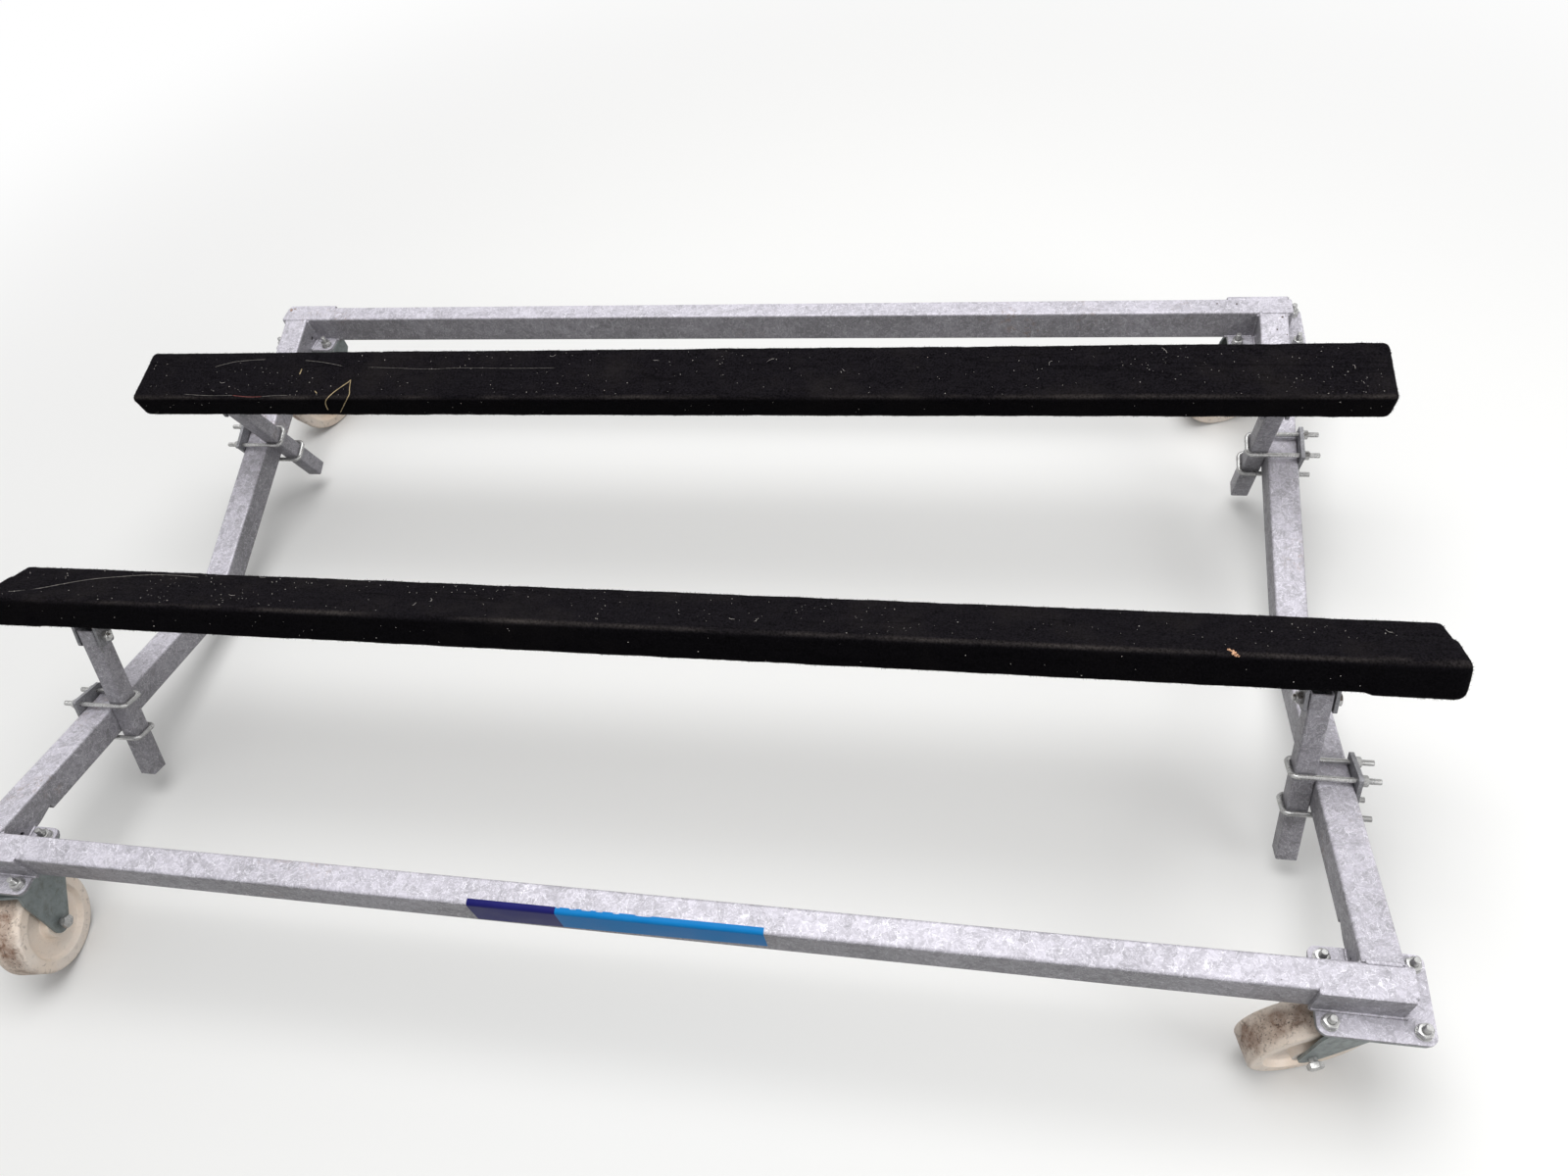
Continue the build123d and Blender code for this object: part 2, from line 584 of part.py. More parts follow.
def make_axle(row):
    """Axle bolt through the fork and the wheel, with its head and its nut outside the legs."""
    frame = castor_plane(row, WHEEL_RADIUS)
    centre = frame.from_local_coords((CASTOR_TRAIL, 0, 0))
    half = FORK_GAP / 2 + FORK_SHEET
    across = Plane(origin=centre, x_dir=frame.x_dir, z_dir=frame.y_dir)
    with BuildPart() as axle:
        with BuildSketch(across.offset(-half)):
            Circle(AXLE_RADIUS)
        extrude(amount=2 * half)
        with BuildSketch(across.offset(half)):
            RegularPolygon(AXLE_HEAD_FLATS / 2, 6, major_radius=False)
        extrude(amount=AXLE_HEAD)
        with BuildSketch(across.offset(-half)):
            RegularPolygon(AXLE_HEAD_FLATS / 2, 6, major_radius=False)
        extrude(amount=-AXLE_NUT)
    return axle


for end, word in ((FRONT, "front"), (REAR, "rear")):
    write(make_rail(end), f"{word}_rail")

for name, side, end, heading in CASTORS:
    write(make_arm(side, end), f"cross_arm_{name}")
    write(make_corner_bracket(side, end), f"corner_bracket_{name}")

for post_row in POSTS:
    write(make_post(post_row), f"post_{post_row[0]}")
    write(make_u_bolts(post_row), f"u_bolts_{post_row[0]}")
    write(make_clamp_plate(post_row), f"clamp_plate_{post_row[0]}")

for bunk_row in BUNKS:
    for spot, word in zip(bunk_spots(bunk_row), ("left", "right")):
        write(make_bunk_bracket(bunk_row, spot), f"bunk_bracket_{bunk_row[0]}_{word}")
        write(make_pivot_bolt(bunk_row, spot), f"pivot_bolt_{bunk_row[0]}_{word}")
    write(make_board(bunk_row), f"bunk_board_{bunk_row[0]}")
    write(make_carpet(bunk_row), f"bunk_carpet_{bunk_row[0]}")

for castor_row in CASTORS:
    write(make_castor_plate(castor_row), f"castor_plate_{castor_row[0]}")
    write(make_fork(castor_row), f"castor_fork_{castor_row[0]}")
    write(make_wheel(castor_row), f"castor_wheel_{castor_row[0]}")
    write(make_axle(castor_row), f"castor_axle_{castor_row[0]}")
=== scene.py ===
"""Looks of a boat storage trailer on swivel castors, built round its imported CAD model.

Metres, +X along the rails to the right, +Y from the front rail to the rear rail, +Z up, floor at Z = 0.
The script reads sizes and places from the frame, adds fasteners, welds and carpet, and gives every
surface its material.
"""

import json
import random
from math import cos, pi, radians, sin, tan, tau

import bmesh
import bpy
from mathutils import Matrix, Vector, noise


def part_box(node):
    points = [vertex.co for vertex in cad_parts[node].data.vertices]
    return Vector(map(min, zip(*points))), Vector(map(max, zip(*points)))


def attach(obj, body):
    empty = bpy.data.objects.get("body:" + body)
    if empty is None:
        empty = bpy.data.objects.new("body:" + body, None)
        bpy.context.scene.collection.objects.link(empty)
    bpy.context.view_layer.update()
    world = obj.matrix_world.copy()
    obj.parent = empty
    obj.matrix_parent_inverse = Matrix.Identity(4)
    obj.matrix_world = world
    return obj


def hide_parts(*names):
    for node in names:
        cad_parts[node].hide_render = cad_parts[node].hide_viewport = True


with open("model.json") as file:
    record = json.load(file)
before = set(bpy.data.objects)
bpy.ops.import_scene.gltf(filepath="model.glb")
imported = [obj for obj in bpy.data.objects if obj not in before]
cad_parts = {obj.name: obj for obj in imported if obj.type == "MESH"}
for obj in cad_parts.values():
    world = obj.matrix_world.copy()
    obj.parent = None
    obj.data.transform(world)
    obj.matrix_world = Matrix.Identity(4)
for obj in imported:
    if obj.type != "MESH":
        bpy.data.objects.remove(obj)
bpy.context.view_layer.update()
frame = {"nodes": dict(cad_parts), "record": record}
RECORD = frame["record"]
NODES = frame["nodes"]
JOINTS = {joint["name"]: joint for joint in RECORD["behaviour"]["joints"]}
MOUNTS = {mount["name"]: mount for mount in RECORD["mounts"]}
MM = 0.001

# Each corner's side along X and along Y
CORNERS = {"front_left": (-1, -1), "front_right": (1, -1), "rear_left": (-1, 1), "rear_right": (1, 1)}
BUNKS = ("front", "rear")
SQUARE = ((-1, -1), (1, -1), (1, 1), (-1, 1))
BRACKET_FLAT = 0.005  # corner bracket's sheet
BEAD_STEP = 0.0013  # along a weld bead

# Camera, set off from the front rail's near left top corner
CAMERA_OFFSET = (1.5476, -0.4874, 1.4187)
CAMERA_TURN = (0.6506, 0.1295, 0.1468)
LENS = 25.684
SENSOR = 36.0

# One row a lamp: name, place, aim, size, power
LAMPS = (
    ("overhead", (0.2, 0.6, 4.0), (0.1, 0.2, 0), 2.9, 113),
    ("side", (3.1, -1.3, 1.3), (0, -0.2, 0.2), 1.6, 27),
)
WORLD_LIGHT = 0.50  # what the white world gives as soft light; what shows of it is 1
FLOOR_HALF = 40.0
FLOOR_FADE = (1.2, 3.4)  # distances from the middle between which the floor fades to white

# Wheels: radii at which the rim and the tread begin, half widths at which the tread ends
RIM_RADII = (0.060, 0.074)
TREAD_RADII = (0.0715, 0.0785)
TREAD_WIDTH = (0.010, 0.021)

# Near ridge of a carpet, worn and with a painted sheen highlight, from its bolts: place across, half width,
# height
RIDGE_ACROSS = -0.0535
RIDGE_WIDTH = (0.0010, 0.0065)
RIDGE_HEIGHT = (0.0915, 0.0955)

# On each carpet
PILE_FIBRES = 30000
LINT_SPECKS = 330
LINT_HAIRS = 9


def linked(name, data):
    """New object in the scene."""
    thing = bpy.data.objects.new(name, data)
    bpy.context.collection.objects.link(thing)
    return thing


class Nodes:
    """A material's node tree, with short calls for the nodes that the finishes use."""

    def __init__(self, name):
        self.material = bpy.data.materials.new(name)
        self.material.use_nodes = True
        self.tree = self.material.node_tree
        self.shader = self.tree.nodes["Principled BSDF"]
        self.place = self.add("TexCoord").outputs["Object"]

    def add(self, kind, **values):
        node = self.tree.nodes.new("ShaderNode" + kind)
        for key, value in values.items():
            setattr(node, key, value)
        return node

    def put(self, socket, value):
        """Links a socket to another, or sets its value."""
        if isinstance(value, bpy.types.NodeSocket):
            self.tree.links.new(value, socket)
        elif socket.type == "RGBA":
            socket.default_value = (*value, 1)
        else:
            socket.default_value = value

    def vector(self, operation, a, b=None):
        """Vector math node on a and b; b is a number where it scales."""
        node = self.add("VectorMath", operation=operation)
        self.put(node.inputs[0], a)
        if b is not None:
            self.put(node.inputs["Scale"] if operation == "SCALE" else node.inputs[1], b)
        return node

    def clouds(self, size, detail=3.0, roughness=0.5, distortion=0.0, place=None, stretch=(1, 1, 1)):
        """Noise node with features about size metres across."""
        mapping = self.add("Mapping")
        self.put(mapping.inputs["Vector"], place or self.place)
        mapping.inputs["Scale"].default_value = tuple(s / size for s in stretch)
        node = self.add("TexNoise")
        self.put(node.inputs["Vector"], mapping.outputs[0])
        values = {"Scale": 1, "Detail": detail, "Roughness": roughness, "Distortion": distortion}
        for name, value in values.items():
            node.inputs[name].default_value = value
        return node

    def noise(self, *settings, **named):
        """Value of such a noise; most of it lies between 0.3 and 0.7."""
        return self.clouds(*settings, **named).outputs["Fac"]

    def cells(self, size, place=None, feature="F1"):
        """Voronoi node with cells about size metres across."""
        node = self.add("TexVoronoi", feature=feature)
        self.put(node.inputs["Vector"], place or self.place)
        node.inputs["Scale"].default_value = 1 / size
        return node

    def channels(self, color):
        """Red, green and blue sockets of a colour."""
        node = self.add("SeparateColor")
        self.put(node.inputs[0], color)
        return node.outputs

    def shifted(self, size, amount):
        """Object coordinates pushed about by noise."""
        push = self.vector("SCALE", self.clouds(size).outputs["Color"], amount)
        return self.vector("ADD", self.place, push.outputs[0]).outputs[0]

    def math(self, operation, a, b=0.0, clamp=False):
        node = self.add("Math", operation=operation, use_clamp=clamp)
        self.put(node.inputs[0], a)
        self.put(node.inputs[1], b)
        return node.outputs[0]

    def sum(self, *values):
        total = values[0]
        for value in values[1:]:
            total = self.math("ADD", total, value)
        return total

    def product(self, a, b):
        return self.math("MULTIPLY", a, b)

    def range(self, value, low, high, to_low=0.0, to_high=1.0, curve="LINEAR"):
        """Value taken from low..high to to_low..to_high, and held at both ends."""
        node = self.add("MapRange", interpolation_type=curve)
        self.put(node.inputs["Value"], value)
        for name, number in (("From Min", low), ("From Max", high), ("To Min", to_low), ("To Max", to_high)):
            self.put(node.inputs[name], number)
        return node.outputs["Result"]

    def veins(self, fac, width, to_high=1.0):
        """Thin lines where a noise crosses its middle."""
        return self.range(self.math("ABSOLUTE", self.math("SUBTRACT", fac, 0.5)), 0, width, to_high, 0)

    def mix(self, factor, a, b):
        node = self.add("Mix", data_type="RGBA")
        self.put(node.inputs[0], factor)
        self.put(node.inputs[6], a)
        self.put(node.inputs[7], b)
        return node.outputs[2]

    def bump(self, height, distance, strength=1.0, normal=None):
        node = self.add("Bump")
        node.inputs["Strength"].default_value = strength
        node.inputs["Distance"].default_value = distance
        self.put(node.inputs["Height"], height)
        if normal:
            self.put(node.inputs["Normal"], normal)
        return node.outputs["Normal"]

    def finish(self, color, roughness, metallic=0.0, normal=None, specular=0.5):
        sockets = {"Base Color": color, "Roughness": roughness, "Metallic": metallic,
                   "Specular IOR Level": specular}
        if normal:
            sockets["Normal"] = normal
        for name, value in sockets.items():
            self.put(self.shader.inputs[name], value)
        return self.material


def add_camera():
    """Camera at the photograph's place."""
    low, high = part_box("front_rail")
    data = bpy.data.cameras.new("camera")
    data.sensor_width = SENSOR
    data.lens = LENS
    camera = linked("camera", data)
    camera.location = Vector((low[0], low[1], high[2])) + Vector(CAMERA_OFFSET)
    camera.rotation_euler = CAMERA_TURN
    bpy.context.scene.camera = camera


def seen_directly(tree):
    """Socket that is 1 for what the camera, a reflection or a refraction sees, and 0 for soft light."""
    path = tree.nodes.new("ShaderNodeLightPath")
    socket = path.outputs["Is Camera Ray"]
    for name in ("Is Glossy Ray", "Is Transmission Ray"):
        either = tree.nodes.new("ShaderNodeMath")
        either.operation = "MAXIMUM"
        tree.links.new(socket, either.inputs[0])
        tree.links.new(path.outputs[name], either.inputs[1])
        socket = either.outputs[0]
    return socket


def add_world():
    """White world, which lights the object less than it shows."""
    scene = bpy.context.scene
    scene.view_settings.view_transform = "Standard"
    scene.world = bpy.data.worlds.new("studio")
    scene.world.use_nodes = True
    tree = scene.world.node_tree
    strength = tree.nodes.new("ShaderNodeMapRange")
    strength.inputs["To Min"].default_value = WORLD_LIGHT
    background = tree.nodes["Background"]
    background.inputs["Color"].default_value = (1, 1, 1, 1)
    tree.links.new(seen_directly(tree), strength.inputs["Value"])
    tree.links.new(strength.outputs["Result"], background.inputs["Strength"])


def add_lamps():
    for name, place, aim, size, power in LAMPS:
        data = bpy.data.lights.new(name, "AREA")
        data.energy = power
        data.size = size
        lamp = linked(name, data)
        lamp.location = place
        lamp.rotation_euler = (Vector(aim) - Vector(place)).to_track_quat("-Z", "Y").to_euler()


def add_floor():
    """Pale floor, which lights the object less than it shows and fades to white away from it."""
    n = Nodes("floor")
    direct = seen_directly(n.tree)
    n.finish(n.mix(direct, (0.20, 0.20, 0.20), (0.88, 0.88, 0.87)), 0.9, specular=0.1)
    glow = n.add("Emission")
    n.put(glow.inputs["Strength"], n.range(direct, 0, 1, 0.2, 1.0))
    distance = n.vector("LENGTH", n.place).outputs["Value"]
    blend = n.add("MixShader")
    n.put(blend.inputs[0], n.range(distance, *FLOOR_FADE, curve="SMOOTHSTEP"))
    n.put(blend.inputs[1], n.shader.outputs[0])
    n.put(blend.inputs[2], glow.outputs[0])
    n.put(n.tree.nodes["Material Output"].inputs["Surface"], blend.outputs[0])
    mesh = bpy.data.meshes.new("floor")
    mesh.from_pydata([(x * FLOOR_HALF, y * FLOOR_HALF, 0) for x, y in SQUARE], [], [(0, 1, 2, 3)])
    mesh.materials.append(n.material)
    linked("floor", mesh)


def galvanised(name, dark, light, bright, spangle, rust):
    """Hot-dip zinc: jagged crystals, each with feathers of its own direction; upward faces carry painted
    light, side faces painted shade, and the crystal pattern is weaker on the sides.
    """
    contrast, metallic, roughness = 0.16, 0.14, 0.44
    n = Nodes(name)
    place = n.shifted(spangle * 0.5, spangle * 0.55)
    crystal = n.cells(spangle, place).outputs["Color"]
    pick = n.channels(crystal)
    small = n.channels(n.cells(spangle * 0.38, place).outputs["Color"])
    edges = n.cells(spangle, place, "DISTANCE_TO_EDGE").outputs["Distance"]
    turned = n.add("VectorRotate", rotation_type="EULER_XYZ")
    n.put(turned.inputs["Vector"], n.place)
    n.put(turned.inputs["Rotation"], n.vector("SCALE", crystal, tau).outputs[0])
    feather = n.noise(spangle * 0.20, 4, 0.6, 0.8, turned.outputs[0], (1, 0.13, 0.36))
    worms = n.math("MAXIMUM", n.veins(n.noise(spangle * 0.45, 3, 0.45, 1.4), 0.026),
                   n.veins(n.noise(spangle * 0.85, 4, 0.5, 1.8), 0.014))
    rim = n.product(n.range(edges, 0.02, 0.05, 1, 0), n.range(pick[1], 0.66, 0.8))
    cloud = n.noise(0.11, 5, 0.6)
    # Mask of upward faces, from the normal: it drives the painted light on the tops, the painted shade on the
    # sides and the weaker pattern there
    upward = n.add("SeparateXYZ")
    n.put(upward.inputs[0], n.add("TexCoord").outputs["Normal"])
    top = n.range(upward.outputs[2], 0.35, 0.8)
    strength = n.range(top, 0, 1, 0.45, 1.0)
    grain = n.sum(
        n.range(pick[0], 0, 1, -contrast, contrast),
        n.range(small[1], 0, 1, -0.45 * contrast, 0.45 * contrast),
        n.range(feather, 0.35, 0.65, -1.1 * contrast, 1.1 * contrast),
    )
    # Painted light and shade: the tone is raised on upward faces and lowered on side faces
    level = n.sum(n.range(cloud, 0.3, 0.7, 0.34, 0.58), n.range(top, 0, 1, -0.34, 0.24))
    color = n.mix(n.math("ADD", level, n.product(grain, strength), clamp=True), dark, light)
    lines = n.product(n.math("MAXIMUM", rim, worms), n.range(feather, 0.42, 0.56, 0.15, 1.0))
    lines = n.product(lines, strength)
    color = n.mix(lines, color, bright)
    pits = n.product(n.range(n.cells(0.021).outputs["Distance"], 0.03, 0.06, 1, 0),
                     n.range(cloud, 0.5, 0.56, 0, 0.8))
    color = n.mix(pits, color, (0.09, 0.08, 0.08))
    if rust:
        bloom = n.product(n.range(n.noise(0.16), 0.60, 0.7), n.range(n.noise(0.010, 5, 0.7), 0.52, 0.64))
        color = n.mix(n.product(bloom, rust), color, (0.26, 0.16, 0.10))
    rough = n.range(n.sum(grain, lines), -0.4, 0.8, roughness + 0.12, roughness - 0.12)
    normal = n.bump(n.noise(0.0016, 2), 0.0001, 0.35)
    normal = n.bump(feather, 0.0005, 0.4, normal)
    normal = n.bump(lines, 0.0002, 0.5, normal)
    normal = n.bump(cloud, 0.003, 0.35, normal)
    return n.finish(color, rough, metallic, normal)


def pressed_zinc(name, dark, light, stain_color, roughness, metallic, dirt):
    """Zinc-plated pressing or bolt with fine grain, dust and darker stains."""
    n = Nodes(name)
    cloud = n.noise(0.03, 5, 0.6)
    stain = n.noise(0.012, 6, 0.65, 0.4)
    color = n.mix(n.range(cloud, 0.32, 0.68), dark, light)
    color = n.mix(n.range(stain, 0.50, 0.68, 0, dirt), color, stain_color)
    scuff = n.veins(n.noise(0.009, 4, 0.6, 1.5), 0.012, 0.4)
    color = n.mix(scuff, color, tuple(min(1, c * 1.6) for c in light))
    normal = n.bump(n.noise(0.0012, 2), 0.0001, 0.4)
    normal = n.bump(cloud, 0.0010, 0.3, normal)
    return n.finish(color, n.range(stain, 0.35, 0.7, roughness - 0.08, roughness + 0.16), metallic, normal)


def timber(name):
    """Softwood board with long grain along X."""
    n = Nodes(name)
    grain = n.noise(0.006, 4, 0.5, 0.6, stretch=(0.03, 1, 1))
    ring = n.noise(0.022, 2, 0.5, 0.8, stretch=(0.05, 1, 1))
    color = n.mix(n.range(ring, 0.35, 0.65), (0.36, 0.23, 0.12), (0.58, 0.42, 0.25))
    color = n.mix(n.range(grain, 0.45, 0.7, 0, 0.6), color, (0.26, 0.16, 0.09))
    return n.finish(color, 0.75, normal=n.bump(grain, 0.0006, 0.6))


def carpet(name, origin, across, up):
    """Near-black pile: dusty on its face, with painted shade making its sides blacker, and worn pale with a
    painted sheen highlight along the near ridge.
    """
    n = Nodes(name)
    offset = n.vector("SUBTRACT", n.place, origin).outputs[0]
    side = n.vector("DOT_PRODUCT", offset, across).outputs["Value"]
    height = n.vector("DOT_PRODUCT", offset, up).outputs["Value"]
    facing = n.vector("DOT_PRODUCT", n.add("TexCoord").outputs["Normal"], up).outputs["Value"]
    dust = n.noise(0.11, 6, 0.65)
    tuft = n.noise(0.0030, 3, 0.65)
    lay = n.noise(0.010, 4, 0.6, 0.5, stretch=(0.35, 1, 1))
    crease_shade = n.veins(n.noise(0.032, 2, 0.4, 0.4, stretch=(0.06, 1, 1)), 0.010)
    color = n.mix(n.range(tuft, 0.36, 0.66), (0.0012, 0.0010, 0.0014), (0.0135, 0.0118, 0.0150))
    color = n.mix(n.range(lay, 0.42, 0.72, 0, 0.45), color, (0.0135, 0.0120, 0.0145))
    color = n.mix(n.range(dust, 0.50, 0.78, 0, 0.4), color, (0.028, 0.024, 0.023))
    # Painted shade: dark lines along the carpet stand in for the shade in creases of the pile
    color = n.mix(n.product(crease_shade, 0.5), color, (0.0012, 0.0010, 0.0014))
    # Painted shade: faces that turn away from up, the carpet's sides and underside, are made darker
    color = n.mix(n.range(facing, 0.3, 0.85, 0.72, 0), color, (0.0008, 0.0007, 0.0010))
    # Painted sheen highlight, with some wear: a pale band along the near top ridge only
    ridge = n.range(n.math("ABSOLUTE", n.sum(side, -RIDGE_ACROSS)), *RIDGE_WIDTH, 1, 0)
    ridge_wear_and_sheen = n.product(ridge, n.range(n.noise(0.05, 5, 0.6, stretch=(0.3, 1, 1)), 0.40, 0.62))
    ridge_wear_and_sheen = n.product(ridge_wear_and_sheen, n.range(height, *RIDGE_HEIGHT))
    color = n.mix(n.product(ridge_wear_and_sheen, n.range(tuft, 0.35, 0.6, 0.25, 0.85)), color, (0.060, 0.052, 0.049))
    normal = n.bump(tuft, 0.0016, 0.9)
    normal = n.bump(lay, 0.0012, 0.5, normal)
    return n.finish(color, 1.0, normal=normal, specular=0.04)


def nylon(name, middle, axis):
    """Cream nylon wheel: its tread is stained brown and speckled black, its faces are cleaner."""
    n = Nodes(name)
    offset = n.vector("SUBTRACT", n.place, middle).outputs[0]
    radius = n.vector("LENGTH", n.vector("CROSS_PRODUCT", offset, axis).outputs[0]).outputs["Value"]
    across = n.math("ABSOLUTE", n.vector("DOT_PRODUCT", offset, axis).outputs["Value"])
    level = n.sum(across, n.range(n.noise(0.02), 0.3, 0.7, -0.007, 0.007))
    tread = n.product(n.range(radius, *TREAD_RADII), n.range(level, *TREAD_WIDTH, 1, 0.12))
    rim = n.range(radius, *RIM_RADII)
    stain = n.noise(0.030, 6, 0.62)
    smear = n.noise(0.010, 5, 0.65, 0.6)
    scuff = n.noise(0.0030, 4, 0.65, 0.5)
    color = n.mix(n.range(n.noise(0.06), 0.35, 0.65), (0.93, 0.79, 0.66), (0.97, 0.88, 0.79))
    dirt = n.product(n.range(stain, 0.36, 0.58, 0.45, 1.0), n.range(tread, 0, 1, 0.06, 0.95))
    dirt = n.product(dirt, n.range(smear, 0.3, 0.65, 0.6, 1.0))
    color = n.mix(dirt, color, (0.215, 0.100, 0.050))
    smudge = n.product(n.range(smear, 0.56, 0.68), n.range(rim, 0, 1, 0.10, 0.6))
    color = n.mix(smudge, color, (0.12, 0.070, 0.045))
    specks = n.product(n.range(scuff, 0.57, 0.64), n.range(tread, 0, 1, 0.08, 0.9))
    color = n.mix(specks, color, (0.05, 0.035, 0.03))
    normal = n.bump(n.noise(0.0016), 0.0002, 0.5)
    normal = n.bump(smear, 0.0008, 0.35, normal)
    return n.finish(color, n.range(dirt, 0, 1, 0.42, 0.62), normal=normal)


def fibre(name, dark, light, size):
    """Lint, thread, straw, rust or backing, mottled from dark to light."""
    n = Nodes(name)
    grain = n.noise(size, 4, 0.6)
    color = n.mix(n.range(grain, 0.35, 0.65), dark, light)
    return n.finish(color, 0.9, normal=n.bump(grain, 0.0003, 0.6))


def vinyl(name, color, pale):
    """Film with a soft gloss, faintly faded and scratched."""
    n = Nodes(name)
    fade = n.noise(0.05, 4)
    scratch = n.veins(n.noise(0.014, 3, 0.5, 2.5, stretch=(0.25, 1, 1)), 0.006, 0.4)
    base = n.mix(n.range(fade, 0.4, 0.7, 0, 0.25), color, pale)
    base = n.mix(scratch, base, pale)
    rough = n.range(fade, 0.3, 0.7, 0.34, 0.48)
    return n.finish(base, rough, normal=n.bump(fade, 0.0005, 0.3), specular=0.1)


# One row a finish: its function, its name, the function's other values in order
FINISHES = (
    (galvanised, "galvanised_steel", (0.20, 0.195, 0.21), (0.64, 0.615, 0.69), (0.89, 0.87, 0.94),
     0.013, 0.6),
    (galvanised, "galvanised_plate", (0.15, 0.15, 0.16), (0.42, 0.42, 0.45), (0.64, 0.64, 0.67), 0.010, 0),
    (pressed_zinc, "bright_zinc", (0.32, 0.32, 0.32), (0.56, 0.56, 0.55), (0.11, 0.10, 0.09), 0.28, 0.7, 0.4),
    (pressed_zinc, "zinc_pressing", (0.17, 0.20, 0.20), (0.25, 0.28, 0.28), (0.11, 0.105, 0.09),
     0.46, 0.25, 0.55),
    (timber, "softwood"),
    (fibre, "lint", (0.62, 0.58, 0.54), (0.88, 0.84, 0.79), 0.002),
    (fibre, "thread", (0.10, 0.095, 0.09), (0.30, 0.28, 0.26), 0.006),
    (fibre, "red_thread", (0.16, 0.03, 0.03), (0.30, 0.09, 0.08), 0.006),
    (fibre, "rust", (0.020, 0.014, 0.012), (0.07, 0.035, 0.022), 0.002),
    (fibre, "brown_stain", (0.26, 0.17, 0.13), (0.42, 0.31, 0.26), 0.004),
    (fibre, "straw", (0.38, 0.29, 0.15), (0.62, 0.50, 0.30), 0.003),
    (fibre, "backing", (0.42, 0.20, 0.10), (0.86, 0.55, 0.36), 0.0025),
    (vinyl, "dark_vinyl", (0.010, 0.010, 0.120), (0.03, 0.03, 0.19)),
    (vinyl, "light_vinyl", (0.003, 0.195, 0.53), (0.03, 0.27, 0.60)),
)
MATERIALS = {name: make(name, *values) for make, name, *values in FINISHES}
for corner in CORNERS:
    joint = JOINTS[f"wheel_spin_{corner}"]
    MATERIALS[f"castor_wheel_{corner}"] = nylon(f"cream_nylon_{corner}", joint["pos_m"], joint["axis"])
for bunk in BUNKS:
    joint = JOINTS[f"bunk_tilt_{bunk}"]
    up = Vector(MOUNTS[f"{bunk}_bunk_face"]["axis"])
    across = up.cross(Vector(joint["axis"]))
    MATERIALS[f"bunk_carpet_{bunk}"] = carpet(f"black_carpet_{bunk}", joint["pos_m"], across, up)

for row in RECORD["subparts"]:
    slots = NODES[row["node"]].data.materials
    slots.clear()
    slots.append(MATERIALS.get(row["node"]) or MATERIALS[row["material_slot"]])


def circle(radius, z, sides):
    """Ring of points round Z."""
    return [(radius * cos(tau * k / sides), radius * sin(tau * k / sides), z) for k in range(sides)]


